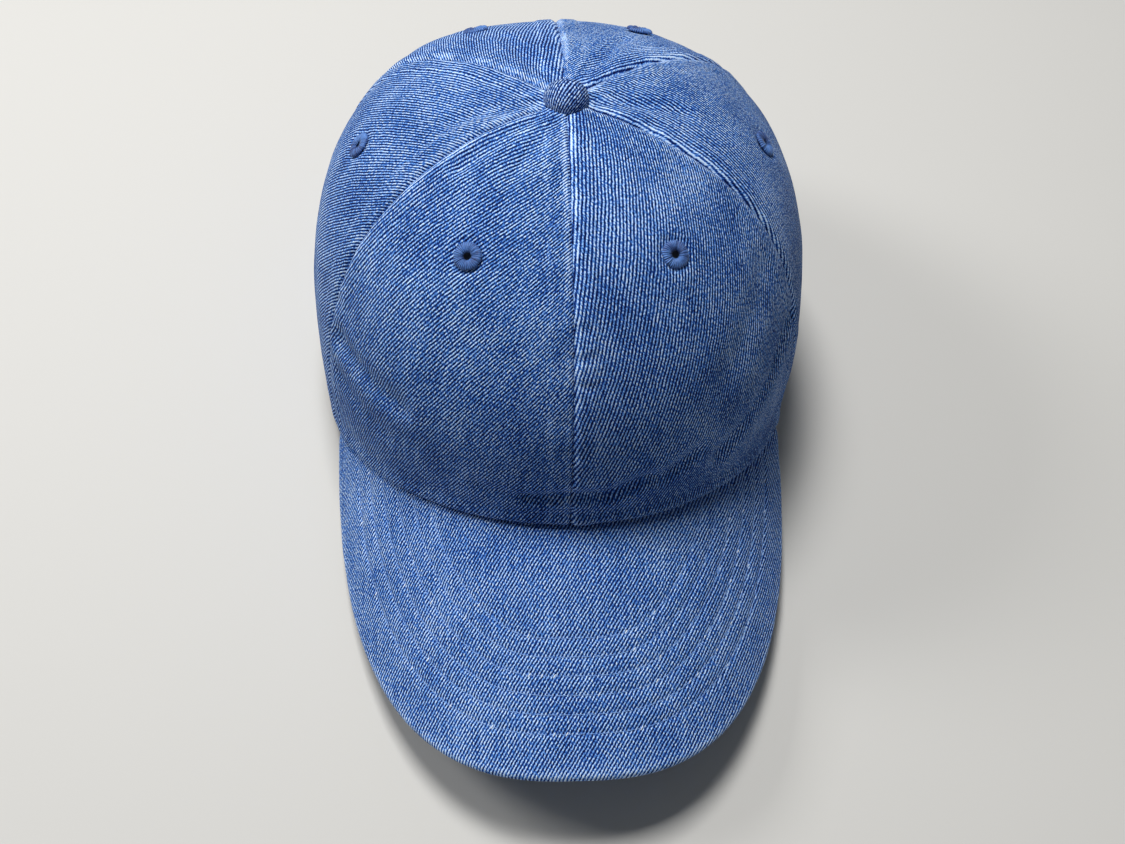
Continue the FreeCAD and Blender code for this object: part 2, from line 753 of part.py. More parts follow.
pinCentre = buckleSpot.multVec(Vector(size("pinAcross"), pinOut, 0))
for name, point in (("strap axis", Vector(0, strapCentreY, strapBase)), ("lever pin", pinCentre)):
    place = rest.multVec(point)
    print(f"{name}: through {place.x:.4f} {place.y:.4f} {place.z:.4f}")
upwards = restTurn.multVec(Vector(0, 0, 1))
print(f"crown up: {upwards.x:.6f} {upwards.y:.6f} {upwards.z:.6f}, tipped back {math.degrees(tip):.3f} degrees")
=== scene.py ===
import json
import math
import bmesh
import bpy
from mathutils import Matrix, Vector, noise
from mathutils.kdtree import KDTree


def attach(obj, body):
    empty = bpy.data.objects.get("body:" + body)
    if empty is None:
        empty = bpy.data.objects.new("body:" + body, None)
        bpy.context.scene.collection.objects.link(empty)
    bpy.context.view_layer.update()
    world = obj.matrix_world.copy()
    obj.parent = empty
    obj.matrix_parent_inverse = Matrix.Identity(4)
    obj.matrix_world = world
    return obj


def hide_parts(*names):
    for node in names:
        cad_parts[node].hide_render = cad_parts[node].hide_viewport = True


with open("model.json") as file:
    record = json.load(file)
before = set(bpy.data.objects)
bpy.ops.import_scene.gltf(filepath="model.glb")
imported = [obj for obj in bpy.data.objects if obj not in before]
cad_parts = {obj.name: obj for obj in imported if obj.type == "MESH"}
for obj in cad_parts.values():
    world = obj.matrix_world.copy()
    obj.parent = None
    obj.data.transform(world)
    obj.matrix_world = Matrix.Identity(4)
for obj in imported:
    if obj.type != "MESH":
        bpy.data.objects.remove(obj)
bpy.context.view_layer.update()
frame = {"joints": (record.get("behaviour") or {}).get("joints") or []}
mm = 0.001

# the cap's own frame: millimetres, hem level, visor towards -Y

crown = {
    "halfWidth": 82.3,
    "halfLength": 98.9,
    "height": 115.6,
    "apexForward": 2.5,
    "frontFullness": 2.23,
    "sideFullness": 2.85,
    "backFullness": 2.06,
    "swell": 0.03,
    "frontSeam": 66.5,  # degrees round from the front
    "backSeam": 120.6,
    "cloth": 1.0,
    "apexHole": 3.0,
    "openingHalfWidth": 36.0,
    "openingHeight": 48.0,
}
visor = {
    "bend": 41.8,  # sag of the corners below the middle
    "rise": 33.3,
    "slope": math.radians(14.7),
    "length": 73.6,
    "corner": math.radians(67.7),
    "cornerInset": 0.6,
    "squareness": 2.47,
    "thickness": 3.8,
}
visor["halfWidth"] = crown["halfWidth"] * math.sin(visor["corner"]) - visor["cornerInset"]
visor["radius"] = (visor["halfWidth"] ** 2 + visor["bend"] ** 2) / (2 * visor["bend"])

strapJoint = next(joint for joint in frame["joints"] if joint["name"] == "strap_adjust")
leverJoint = next(joint for joint in frame["joints"] if joint["name"] == "buckle_lever_pivot")
strap = {"hemGap": 3.0, "height": 20.0, "thickness": 2.0, "inset": 2.4}
tip = math.asin(strapJoint["axis"][1])
strapCentreY = (strapJoint["pos_m"][1] - strap["hemGap"] * mm * math.sin(tip)) / math.cos(tip) / mm
lift = strapJoint["pos_m"][2] + (strapCentreY * math.sin(tip) - strap["hemGap"] * math.cos(tip)) * mm
restPlace = Matrix.Translation((0, 0, lift)) @ Matrix.Rotation(-tip, 4, "X") @ Matrix.Scale(mm, 4)


def smoothStep(low, high, value):
    part = min(max((value - low) / (high - low), 0.0), 1.0)
    return part * part * (3 - 2 * part)


def bell(value, width):
    return math.exp(-((value / width) ** 2))


def visorHeight(x, y, drop):
    across = math.sqrt(max((visor["radius"] - drop) ** 2 - x * x, 0.0))
    slope = visor["slope"]
    fall = (visor["radius"] - across) / math.cos(slope)
    return visor["rise"] + math.tan(slope) * (y + crown["halfLength"]) - fall


def hemHeight(angle):
    turn = math.radians(angle)
    corner = math.degrees(visor["corner"])
    x, y = crown["halfWidth"] * math.sin(turn), -crown["halfLength"] * math.cos(turn)
    if abs(angle) >= corner + 15:
        return 0.0
    rise = visorHeight(x, y, visor["thickness"])
    rise = (rise + math.sqrt(rise * rise + 4)) / 2
    return rise * (1 - smoothStep(corner, corner + 15, abs(angle)))


def crownShape(angle):
    turn = math.radians(angle)
    front, back = max(math.cos(turn), 0) ** 2, max(-math.cos(turn), 0) ** 2
    side = 1 - front - back
    fullness = front * crown["frontFullness"] + side * crown["sideFullness"] + back * crown["backFullness"]
    return fullness, crown["swell"] * (side + back)


def crownPoint(angle, rise):
    # angle round from the front, rise from 0 at the hem to 1 at the apex
    fullness, swell = crownShape(angle)
    turn, lean = math.radians(angle), min(max(rise, 0.0), 1.0) * math.pi / 2
    out, up = math.cos(lean), math.sin(lean)
    scale = (out**fullness + up**fullness) ** (-1 / fullness)
    out, up = out * scale, up * scale
    out *= 1 + swell * 6.75 * up * up * (1 - up)
    x = out * crown["halfWidth"] * math.sin(turn)
    y = -crown["apexForward"] * (1 - out) - out * crown["halfLength"] * math.cos(turn)
    return Vector((x, y, hemHeight(angle) * (1 - up) + crown["height"] * up))


def crownNormal(angle, rise):
    low, high = max(rise - 0.002, 0.0), min(rise + 0.002, 1.0)
    alongHem = crownPoint(angle + 0.2, rise) - crownPoint(angle - 0.2, rise)
    alongSeam = crownPoint(angle, high) - crownPoint(angle, low)
    return alongHem.cross(alongSeam).normalized()


def riseAbove(angle, height):
    fullness, swell = crownShape(angle)
    up = height / (crown["height"] - hemHeight(angle))
    out = (1 - up**fullness) ** (1 / fullness)
    return math.atan2(up, out) / (math.pi / 2)


def riseWithin(radius):
    return math.atan2(1.0, 2 * radius / (crown["halfWidth"] + crown["halfLength"])) / (math.pi / 2)


def softNoise(point, size, seed):
    # about -1 to 1, with lumps of the given size in millimetres
    return noise.noise(Vector(point) / size + Vector((seed * 7.31, seed * 3.17, seed * 5.93)))


# meshes


def finishPiece(name, shape, materials, body="crown", slotName=None):
    mesh = bpy.data.meshes.new(name)
    shape.to_mesh(mesh)
    shape.free()
    for material in materials:
        mesh.materials.append(material)
    for face in mesh.polygons:
        face.use_smooth = True
    piece = bpy.data.objects.new(name, mesh)
    bpy.context.scene.collection.objects.link(piece)
    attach(piece, body)
    return piece


def gridPiece(name, across, along, pointAt, materials, closed=False, isOpen=None, core=None, **rest):
    # pointAt takes column and row numbers and gives the place, the cloth's own (u, v) in
    # millimetres and how worn the spot is, plus painted shade low on the crown panels; isOpen says
    # whether a place is in a hole, and an open sheet's faces look away from its core
    shape = bmesh.new()
    bmesh.ops.create_grid(shape, x_segments=across, y_segments=along, size=0.5)
    layer = shape.loops.layers.uv.new("clothMap")
    wearLayer = shape.verts.layers.float.new("wear")
    flat = {}
    for vert in shape.verts:
        column, row = round((vert.co.x + 0.5) * across), round((vert.co.y + 0.5) * along)
        place, spot, wear = pointAt(column, row)
        vert.co = place
        vert[wearLayer] = wear
        flat[vert] = spot
    for face in shape.faces:
        for loop in face.loops:
            loop[layer].uv = flat[loop.vert]
    if closed:
        bmesh.ops.remove_doubles(shape, verts=shape.verts, dist=0.01)
    if isOpen:
        cut = [face for face in shape.faces if isOpen(face.calc_center_median())]
        bmesh.ops.delete(shape, geom=cut, context="FACES")
    bmesh.ops.transform(shape, matrix=restPlace, verts=shape.verts)
    bmesh.ops.recalc_face_normals(shape, faces=shape.faces)
    if core:
        centre = restPlace @ Vector(core)
        if sum((face.calc_center_median() - centre).dot(face.normal) for face in shape.faces) < 0:
            bmesh.ops.reverse_faces(shape, faces=shape.faces)
    return finishPiece(name, shape, materials, **rest)


def thicken(piece, thickness, offset=-1.0, backSlot=0):
    solid = piece.modifiers.new("Cloth thickness", "SOLIDIFY")
    solid.thickness = thickness * mm
    solid.offset = offset
    solid.material_offset = backSlot
    solid.material_offset_rim = 0


# materials


def linear(hexColour):
    channels = [int(hexColour[place : place + 2], 16) / 255 for place in (1, 3, 5)]
    return [c / 12.92 if c <= 0.04045 else ((c + 0.055) / 1.055) ** 2.4 for c in channels] + [1.0]


def newMaterial(name):
    material = bpy.data.materials.new(name)
    material.use_nodes = True
    return material, material.node_tree, material.node_tree.nodes["Principled BSDF"]


def addNode(tree, kind, inputs, out=0, **settings):
    # inputs are values or the sockets to link from, settings are the node's own; gives its output
    node = tree.nodes.new(kind)
    for key, value in settings.items():
        setattr(node, key, value)
    for key, value in inputs.items():
        if isinstance(value, bpy.types.NodeSocket):
            tree.links.new(value, node.inputs[key])
        else:
            node.inputs[key].default_value = value
    return node.outputs[out]


def finishSurface(tree, shader, tone, stops, relief, strength, depth, finish):
    # colour by tone, fine relief of a depth in millimetres, and the shader's own values
    colour = addNode(tree, "ShaderNodeValToRGB", {"Fac": tone})
    elements = colour.node.color_ramp.elements
    while len(elements) < len(stops):
        elements.new(0.5)
    for element, (place, hexColour) in zip(elements, stops):
        element.position = place
        element.color = linear(hexColour)
    bump = {"Strength": strength, "Distance": depth * mm, "Height": relief}
    tree.links.new(colour, shader.inputs["Base Color"])
    tree.links.new(addNode(tree, "ShaderNodeBump", bump), shader.inputs["Normal"])
    for key, value in finish.items():
        shader.inputs[key].default_value = value


denimLook = {
    "wale": 0.98,  # millimetres between the diagonal ribs
    "lean": 30.0,  # degrees clockwise from the warp
    "yarn": 0.42,
    "floats": 0.55,  # yarn width over float length
    "streaks": 0.06,  # per millimetre along the warp
    "drift": 0.65,  # how far the ribs wander
    "washClouds": 0.5,
    "start": -1.12,  # tone that the ribs, floats, clouds, wear and painted shade add to
    "dark": "#030d3a",
    "deep": "#0f307e",
    "middle": "#2b63b8",
    "light": "#6ea4e6",
    "pale": "#cee4fd",
}
toneStops = {"dark": 0.04, "deep": 0.3, "middle": 0.51, "light": 0.72, "pale": 0.94}
denimFinish = {"Roughness": 0.88, "Specular IOR Level": 0.12, "Sheen Weight": 0.03, "Sheen Roughness": 0.5}


def denim(name, **changes):
    # washed indigo cotton twill: blue warp floats in diagonal ribs, white weft in the furrows
    # and in worn spots, cloudy from washing, with a dry fuzzy surface
    look = {**denimLook, **changes}
    material, tree, shader = newMaterial(name)
    cloth = addNode(tree, "ShaderNodeUVMap", {}, uv_map="clothMap")

    def clothNoise(scale, spot, detail, out=0):
        inputs = {"Vector": spot, "Scale": scale, "Detail": detail}
        return addNode(tree, "ShaderNodeTexNoise", inputs, out, noise_dimensions="2D")

    def yarnNoise(alongWarp, detail):
        # a yarn wide and drawn out along the warp
        stretch = {"Vector": cloth, "Scale": (1 / look["yarn"], alongWarp, 1.0)}
        return clothNoise(1.0, addNode(tree, "ShaderNodeMapping", stretch), detail)

    def total(parts, value):
        for socket, weight in parts:
            inputs = {0: socket, 1: weight, 2: value}
            value = addNode(tree, "ShaderNodeMath", inputs, operation="MULTIPLY_ADD")
        return value

    wander = {0: clothNoise(0.13, cloth, 3.0, "Color"), 1: (look["drift"], look["drift"], 0.0), 2: cloth}
    shifted = addNode(tree, "ShaderNodeVectorMath", wander, operation="MULTIPLY_ADD")
    lean = (0.0, 0.0, math.radians(look["lean"]))
    turned = addNode(tree, "ShaderNodeMapping", {"Vector": shifted, "Rotation": lean})
    acrossRibs = addNode(tree, "ShaderNodeSeparateXYZ", {"Vector": turned}, "X")
    ribInputs = {0: acrossRibs, 1: 2 * math.pi / look["wale"]}
    phase = addNode(tree, "ShaderNodeMath", ribInputs, operation="MULTIPLY")
    wave = addNode(tree, "ShaderNodeMath", {0: phase}, operation="SINE")
    rib = addNode(tree, "ShaderNodeMapRange", {"Value": wave, "From Min": -0.75, "From Max": 0.75})
    floats = yarnNoise(look["floats"] / look["yarn"], 2.0)
    streaks = yarnNoise(look["streaks"], 1.0)
    place = addNode(tree, "ShaderNodeTexCoord", {}, "Object")
    cloudy = {"Vector": place, "Scale": 55.0, "Detail": 4.0, "Roughness": 0.6}
    clouds = addNode(tree, "ShaderNodeTexNoise", cloudy)
    # the wear attribute: real wear, and on the crown panels painted shade darkening the cloth near the hem
    wear = addNode(tree, "ShaderNodeAttribute", {}, "Fac", attribute_name="wear")
    grain = addNode(tree, "ShaderNodeTexNoise", {"Vector": place, "Scale": 900.0, "Detail": 2.0})
    wornGrain = addNode(tree, "ShaderNodeMath", {0: wear, 1: grain}, operation="MULTIPLY")
    parts = [(rib, 0.66), (floats, 1.45), (streaks, 0.45), (clouds, look["washClouds"]), (wornGrain, 0.8)]
    relief = total([(rib, 0.6), (floats, 0.5)], 0.0)
    stops = [(stop, look[shade]) for shade, stop in toneStops.items()]
    finishSurface(tree, shader, total(parts, look["start"]), stops, relief, 0.55, 0.35, denimFinish)
    return material


visorChanges = {"wale": 0.96, "lean": 32.0, "yarn": 0.36, "washClouds": 0.28, "start": -0.99}
buttonChanges = {"wale": 0.66, "deep": "#0c2560", "middle": "#264f9a", "light": "#6a96d8"}
backChanges = {"dark": "#4c6aa0", "deep": "#6a88bd", "middle": "#8ba6d2"}
backChanges.update({"light": "#b0c4e4", "pale": "#dfe8f6"})
crownDenim = denim("washed indigo denim, crown")
visorDenim = denim("washed indigo denim, visor", **visorChanges)
buttonDenim = denim("washed indigo denim, button", **buttonChanges)
denimBack = denim("washed indigo denim, weft side", **backChanges)


def threadLook(name, colours, roughness=0.55, satin=0.0):
    # spun polyester sewing thread: smooth, slightly glossy, with satin stitches side by side
    material, tree, shader = newMaterial(name)
    place = addNode(tree, "ShaderNodeTexCoord", {}, "Object")
    tone = addNode(tree, "ShaderNodeTexNoise", {"Vector": place, "Scale": 700.0, "Detail": 3.0})
    if satin:
        cloth = addNode(tree, "ShaderNodeUVMap", {}, uv_map="clothMap")
        strand = addNode(tree, "ShaderNodeSeparateXYZ", {"Vector": cloth}, "X")
        wave = addNode(tree, "ShaderNodeMath", {0: strand}, operation="SINE")
        tone = addNode(tree, "ShaderNodeMath", {0: wave, 1: satin, 2: tone}, operation="MULTIPLY_ADD")
    stops = [(0.25, colours[0]), (0.75, colours[1])]
    finish = {"Roughness": roughness, "Sheen Weight": 0.2}
    finishSurface(tree, shader, tone, stops, tone, 0.5, 0.15, finish)
    return material


eyeletThread = threadLook("satin-stitched polyester thread", ("#0f2f6c", "#4a7cc4"), 0.6, satin=0.28)
visorThread = threadLook("light blue sewing thread", ("#4a7ccc", "#90baf2"))
innerThread = threadLook("navy sewing thread", ("#1a2f66", "#35549a"))
whiteCore = threadLook("undyed cotton core of the yarns", ("#b9d3f2", "#f2f7ff"), 0.8)


def wovenCloth(name, colours, spacing):
    # plain weave: threads over and under one another, spacing in millimetres
    material, tree, shader = newMaterial(name)
    cloth = addNode(tree, "ShaderNodeUVMap", {}, uv_map="clothMap")
    waves = []
    for axis in "XY":
        across = addNode(tree, "ShaderNodeSeparateXYZ", {"Vector": cloth}, axis)
        phase = addNode(tree, "ShaderNodeMath", {0: across, 1: math.pi / spacing}, operation="MULTIPLY")
        waves.append(addNode(tree, "ShaderNodeMath", {0: phase}, operation="SINE"))
    weave = addNode(tree, "ShaderNodeMath", {0: waves[0], 1: waves[1]}, operation="MULTIPLY")
    cloudy = {"Vector": cloth, "Scale": 0.35, "Detail": 4.0}
    clouds = addNode(tree, "ShaderNodeTexNoise", cloudy, noise_dimensions="2D")
    tone = addNode(tree, "ShaderNodeMath", {0: weave, 1: 0.18, 2: clouds}, operation="MULTIPLY_ADD")
    stops = [(0.25, colours[0]), (0.75, colours[1])]
    finishSurface(tree, shader, tone, stops, weave, 0.5, 0.2, {"Roughness": 0.85, "Sheen Weight": 0.15})
    return material


tapeCloth = wovenCloth("woven cotton seam tape, navy", ("#1b2f5e", "#34508c"), 0.5)
bandCloth = wovenCloth("brushed cotton sweatband twill, blue", ("#223f7c", "#3f62a8"), 0.6)


def metalLook(name, colours, roughness, grit):
    # pressed and tumbled metal: small dents, and tarnish that gathers in patches
    material, tree, shader = newMaterial(name)
    place = addNode(tree, "ShaderNodeTexCoord", {}, "Object")
    tarnish = {"Vector": place, "Scale": 420.0, "Detail": 6.0, "Roughness": 0.7}
    patches = addNode(tree, "ShaderNodeTexNoise", tarnish)
    polish = {"Value": patches, "To Min": roughness + 0.15, "To Max": roughness - 0.1}
    tree.links.new(addNode(tree, "ShaderNodeMapRange", polish), shader.inputs["Roughness"])
    dents = addNode(tree, "ShaderNodeTexNoise", {"Vector": place, "Scale": grit, "Detail": 2.0})
    stops = [(0.3, colours[0]), (0.7, colours[1])]
    finishSurface(tree, shader, patches, stops, dents, 0.25, 0.08, {"Metallic": 1.0})
    return material


antiqueBrass = metalLook("antiqued brass, tumbled", ("#6e5832", "#b3955a"), 0.38, 1600.0)
pressedSteel = metalLook("zinc-plated pressed steel", ("#7c7f84", "#b4b7bb"), 0.35, 1200.0)


def sheetPlastic(name, colours):
    # calendered polyethylene sheet: milky, waxy, faintly uneven
    material, tree, shader = newMaterial(name)
    place = addNode(tree, "ShaderNodeTexCoord", {}, "Object")
    uneven = addNode(tree, "ShaderNodeTexNoise", {"Vector": place, "Scale": 420.0, "Detail": 3.0})
    stops = [(0.3, colours[0]), (0.7, colours[1])]
    finishSurface(tree, shader, uneven, stops, uneven, 0.15, 0.1, {"Roughness": 0.5})
    return material


boardPlastic = sheetPlastic("matt polyethylene visor board", ("#d6d6d0", "#ececec"))
print("materials ready")

# crown panels

panelLook = {
    "columns": 96,
    "rows": 130,
    "grooveDepth": 0.65,
    "grooveWidth": 0.6,
    "allowance": 6.8,  # where the folded seam allowance ends
    "ridge": 0.42,
    "pucker": 0.22,
    "rollHeight": 1.3,  # the cloth bulges over the visor's seam
    # painted shade: how much darker the crown cloth is painted near the hem
    "paintedLowShade": 0.12,
    "softLumps": 0.9,
    "eyeletHole": 2.6,
    "eyeletSink": 0.7,
}
eyeletSpots = {"front": (35.0, 0.6), "side": (91.0, 0.53), "back": (147.0, 0.62)}  # angle and rise
seamAngles = {"front": (0.0, crown["frontSeam"]), "side": (crown["frontSeam"], crown["backSeam"])}
seamAngles["back"] = (crown["backSeam"], 180.0)
# soft creases, each from one (angle, rise) to another, with its half width and depth
creases = [
    ((-9.0, 0.108), (-1.8, 0.125), 3.0, 2.2),
    ((-20.0, 0.13), (-11.0, 0.115), 3.4, 1.0),
    ((1.6, 0.125), (7.5, 0.118), 3.0, 2.2),
    ((10.0, 0.135), (17.0, 0.16), 3.4, 1.7),
    ((20.0, 0.15), (28.0, 0.19), 3.8, 1.4),
    ((0.9, 0.40), (4.6, 0.395), 1.5, 0.6),
    ((0.9, 0.45), (5.2, 0.455), 1.6, 0.6),
    ((0.9, 0.51), (4.4, 0.505), 1.4, 0.5),
    ((-62.0, 0.30), (-40.0, 0.27), 4.6, 1.7),
    ((-60.0, 0.22), (-44.0, 0.18), 4.0, 1.0),
    ((64.0, 0.32), (36.0, 0.15), 5.0, 2.2),
    ((38.0, 0.34), (58.0, 0.46), 7.0, 1.0),
    ((-50.0, 0.93), (-58.0, 0.72), 3.0, 1.0),
    ((-76.0, 0.93), (-80.0, 0.74), 3.2, 0.9),
    ((-24.0, 0.93), (-34.0, 0.78), 3.0, 0.7),
    ((82.0, 0.93), (86.0, 0.74), 3.2, 0.9),
    ((52.0, 0.92), (55.0, 0.8), 2.6, 0.6),
    ((140.0, 0.9), (146.0, 0.72), 3.2, 0.8),
    ((-140.0, 0.9), (-150.0, 0.72), 3.2, 0.8),
    ((100.0, 0.2), (118.0, 0.3), 6.0, 1.0),
    ((-104.0, 0.26), (-120.0, 0.18), 6.0, 1.0),
]
creaseLines = [(crownPoint(*start), crownPoint(*end), width, depth) for start, end, width, depth in creases]


def creaseDepth(place):
    depth = 0.0
    for start, end, width, amount in creaseLines:
        line = end - start
        part = min(max((place - start).dot(line) / line.length_squared, 0.0), 1.0)
        away = (place - start - part * line).length / width
        if away < 3.2:
            depth -= amount * (1 - 0.75 * away * away) * math.exp(-0.8 * away * away)
    return depth


def spread(part, ends):
    # packs the grid's lines towards both edges
    return part - ends * math.sin(2 * math.pi * part) / (2 * math.pi)


def seamRelief(away, along, seed, oneSided):
    edge = -panelLook["grooveDepth"] * bell(away, panelLook["grooveWidth"])
    end = panelLook["allowance"]
    folded = smoothStep(0.6, 2.0, away) - smoothStep(end - 0.9, end + 0.5, away)
    edge += panelLook["ridge"] * oneSided * folded
    ripple = 1.3 * softNoise((along, away * 0.25, 0), 5.5, seed)
    ripple += 0.7 * softNoise((along, 0, 0), 2.8, seed + 3)
    return edge + panelLook["pucker"] * ripple * bell(away - 2.2, 4.5)


def seamWear(away, along, seed):
    patchy = 0.55 + 0.9 * softNoise((along, 0, 0), 9.0, seed)
    patchy += 0.5 * softNoise((along, away, 0), 2.5, seed + 1)
    line = (0.5 + 0.35 * smoothStep(70.0, 120.0, along)) * bell(away - 1.2, 1.0)  # most near the button
    line += 0.3 * bell(away - panelLook["allowance"], 0.8)
    return max(line * patchy, 0.0)


def crownRelief(angle, rise, place, height):
    # soft lumps, creases and the roll of cloth above the visor's seam
    relief = panelLook["softLumps"] * softNoise(place, 34.0, 1) + 0.22 * softNoise(place, 11.0, 2)
    relief += creaseDepth(place)
    overVisor = 1 - smoothStep(58.0, 72.0, abs(angle))
    above = height - visor["thickness"]
    roll = panelLook["rollHeight"] * bell(above - 2.8, 2.6) - 0.9 * bell(above + 0.2, 0.9)
    roll += 0.25 * softNoise((angle * 1.4, 0, 0), 6.0, 9) * bell(above - 5, 5.0)
    hem = -0.5 * bell(height, 0.8) + 0.25 * bell(height - 3.0, 2.5)
    return relief * smoothStep(0.0, 12.0, height) + roll * overVisor + hem * (1 - overVisor)


def crownPanel(place, side, sign):
    start, end = sorted(sign * angle for angle in seamAngles[place])
    columns, rows = panelLook["columns"], panelLook["rows"]
    top = riseWithin(crown["apexHole"])
    rises = [top * (0.52 * t + 0.48 * t * t) for t in (row / rows for row in range(rows + 1))]
    angles = [start + (end - start) * spread(column / columns, 0.62) for column in range(columns + 1)]
    base = [[crownPoint(angle, rise) for angle in angles] for rise in rises]
    middle = columns // 2
    up = [0.0]
    for row in range(rows):
        up.append(up[-1] + (base[row + 1][middle] - base[row][middle]).length)
    across = []
    for row in base:
        lengths = [0.0]
        for column in range(columns):
            lengths.append(lengths[-1] + (row[column + 1] - row[column]).length)
        across.append(lengths)
    climb = [[0.0] * (columns + 1)]
    for low, high in zip(base, base[1:]):
        climb.append([before + (b - a).length for before, a, b in zip(climb[-1], low, high)])
    seed = {"front": 10, "side": 30, "back": 50}[place] + (5 if sign > 0 else 0)
    eyelet = crownPoint(sign * eyeletSpots[place][0], eyeletSpots[place][1])

    def pointAt(column, row):
        angle, rise, spot = angles[column], rises[row], base[row][column]
        fromStart, fromEnd = across[row][column], across[row][-1] - across[row][column]
        startSeed, endSeed = (seed, seed + 1) if sign > 0 else (seed + 1, seed)
        centreSide = 1.0 if not (place == "front" and sign < 0 and fromEnd < fromStart) else 0.2
        near = min(1.0, across[row][-1] / 14)
        relief = near * seamRelief(fromStart, up[row], startSeed, 1.0)
        relief += near * seamRelief(fromEnd, up[row], endSeed, centreSide)
        relief += crownRelief(angle, rise, spot, up[row])
        ring = (spot - eyelet).length
        relief += panelLook["eyeletSink"] * (0.35 * bell(ring - 7.0, 2.2) - bell(ring - 3.6, 1.6))
        relief *= 1 - 0.6 * bell(ring, 3.2)
        wear = seamWear(fromStart, up[row], startSeed) + seamWear(fromEnd, up[row], endSeed)
        wear += 0.35 * bell(up[row] - visor["thickness"] - 1.2, 1.6)
        wear -= panelLook["paintedLowShade"] * (1 - smoothStep(12.0, 75.0, up[row]))  # painted shade: the cloth is painted darker towards the hem, where the crown faces down and away from the light
        grain = climb[row][column] if place == "back" else up[row]
        flat = (fromStart - across[row][-1] / 2, grain)
        return spot + crownNormal(angle, rise) * relief, flat, wear

    def isOpen(spot):
        half, top = crown["openingHalfWidth"] + 1.2, crown["openingHeight"] + 1.2
        legs = abs(spot.x) < half and spot.z < top - half
        arch = math.hypot(spot.x, spot.z - top + half) < half
        return spot.y > 0 and (legs or arch) or (spot - eyelet).length < panelLook["eyeletHole"]

    piece = gridPiece(
        f"{place}_panel_cloth_{side}",
        columns,
        rows,
        pointAt,
        [crownDenim, denimBack],
        isOpen=isOpen,
        core=(0, 0, 30),
        slotName="denim",
    )
    thicken(piece, crown["cloth"], backSlot=1)
    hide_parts(f"{place}_panel_{side}")
    return piece, up[-1], max(lengths[-1] for lengths in across)


for place in seamAngles:
    for side, sign in (("left", 1), ("right", -1)):
        crownPanel(place, side, sign)
print("crown panels ready")

# stitches: short tapered beads of thread, laid along a run of places


def stitchSpots(run, pitch, chance=None):
    # run is a list of (place, outward normal), close together; chance leaves some out
    spots, walked, nextAt = [], 0.0, pitch * 0.5
    for (start, normal), (end, _) in zip(run, run[1:]):
        step = (end - start).length
        while step > 0 and walked + step >= nextAt:
            spot = start.lerp(end, (nextAt - walked) / step)
            along = (end - start).normalized()
            aside = normal.cross(along).normalized()
            out = along.cross(aside)
            along = (along + aside * 0.12 * noise.noise(spot * 3.7)).normalized()
            nextAt += pitch
            if chance is None or noise.noise(spot * 1.9) > chance:
                spots.append((spot, along, out.cross(along), out))
        walked += step
    return spots


def stitchPiece(name, runs, material, pitch, length, width, chance=None, along=None, **rest):
    # every stitch is six rings of one long grid, drawn in to a point at both ends; it lies
    # on its run, or along a given direction
    spots = [spot for run in runs for spot in stitchSpots(run, pitch, chance)]
    if along:
        spots = [(spot, along, out.cross(along), out) for spot, _, _, out in spots]
    sides, rings, height = 7, 6, 0.7
    shape = bmesh.new()
    bmesh.ops.create_grid(shape, x_segments=sides, y_segments=len(spots) * rings - 1, size=0.5)
    between = []
    for face in shape.faces:
        row = round((face.calc_center_median().y + 0.5) * (len(spots) * rings - 1) - 0.5)
        if row % rings == rings - 1:
            between.append(face)
    for vert in shape.verts:
        row = round((vert.co.y + 0.5) * (len(spots) * rings - 1))
        turn = (vert.co.x + 0.5) * 2 * math.pi
        spot, along, aside, out = spots[row // rings]
        lean = math.pi * (row % rings) / (rings - 1)
        ring = aside * math.cos(turn) + out * math.sin(turn) * height
        vert.co = spot - along * math.cos(lean) * length / 2 + ring * math.sin(lean) ** 0.6 * width / 2
    bmesh.ops.delete(shape, geom=between, context="FACES_ONLY")
    bmesh.ops.remove_doubles(shape, verts=shape.verts, dist=0.004)
    bmesh.ops.transform(shape, matrix=restPlace, verts=shape.verts)
    bmesh.ops.recalc_face_normals(shape, faces=shape.faces)
    return finishPiece(name, shape, [material], **{"slotName": "denim", **rest})


# visor
# Its covers lie on a round tube whose axis slopes down to the front. A spot is given flat, by
# the distance round the tube and along its axis, and by how deep it is under the top face.

visorLook = {
    "columns": 250,
    "rows": 150,
    "stitchRows": 6,
    "firstRow": 13.0,
    "rowPitch": 5.6,
    "channel": 0.4,
    "rootDip": 0.7,  # the cover dives into the seam under the crown
    "edgeRoll": 1.9,
    "board": 1.8,
    "boardDepth": 1.0,
    "boardInset": 1.3,
    "thread": 0.24,
    "stitch": 3.7,
}
visorLean = Vector((0, math.cos(visor["slope"]), math.sin(visor["slope"])))
visorUp = Vector((0, -math.sin(visor["slope"]), math.cos(visor["slope"])))
tubeHeight = visor["rise"] + math.tan(visor["slope"]) * crown["halfLength"]
tubeHeight -= visor["radius"] / math.cos(visor["slope"])


def visorSpot(across, along, drop):
    turn, radius = across / visor["radius"], visor["radius"] - drop
    ring = Vector((1, 0, 0)) * math.sin(turn) + visorUp * math.cos(turn)
    return Vector((0, 0, tubeHeight)) + visorLean * along + ring * radius, ring


def visorFlat(x, y):
    turn = math.asin(x / visor["radius"])
    back = visor["radius"] * math.cos(turn) * math.sin(visor["slope"])
    return Vector((visor["radius"] * turn, (y + back) / math.cos(visor["slope"]), 0))


def visorEdge(turn):
    # plan outline: a squared-off ellipse from corner to corner
    power = 2 / visor["squareness"]
    backLine = -crown["halfLength"] * math.cos(visor["corner"])
    reach = crown["halfLength"] + visor["length"] + backLine
    across = math.copysign(abs(math.sin(turn)) ** power, math.sin(turn))
    return visorFlat(visor["halfWidth"] * across, backLine - reach * abs(math.cos(turn)) ** power)


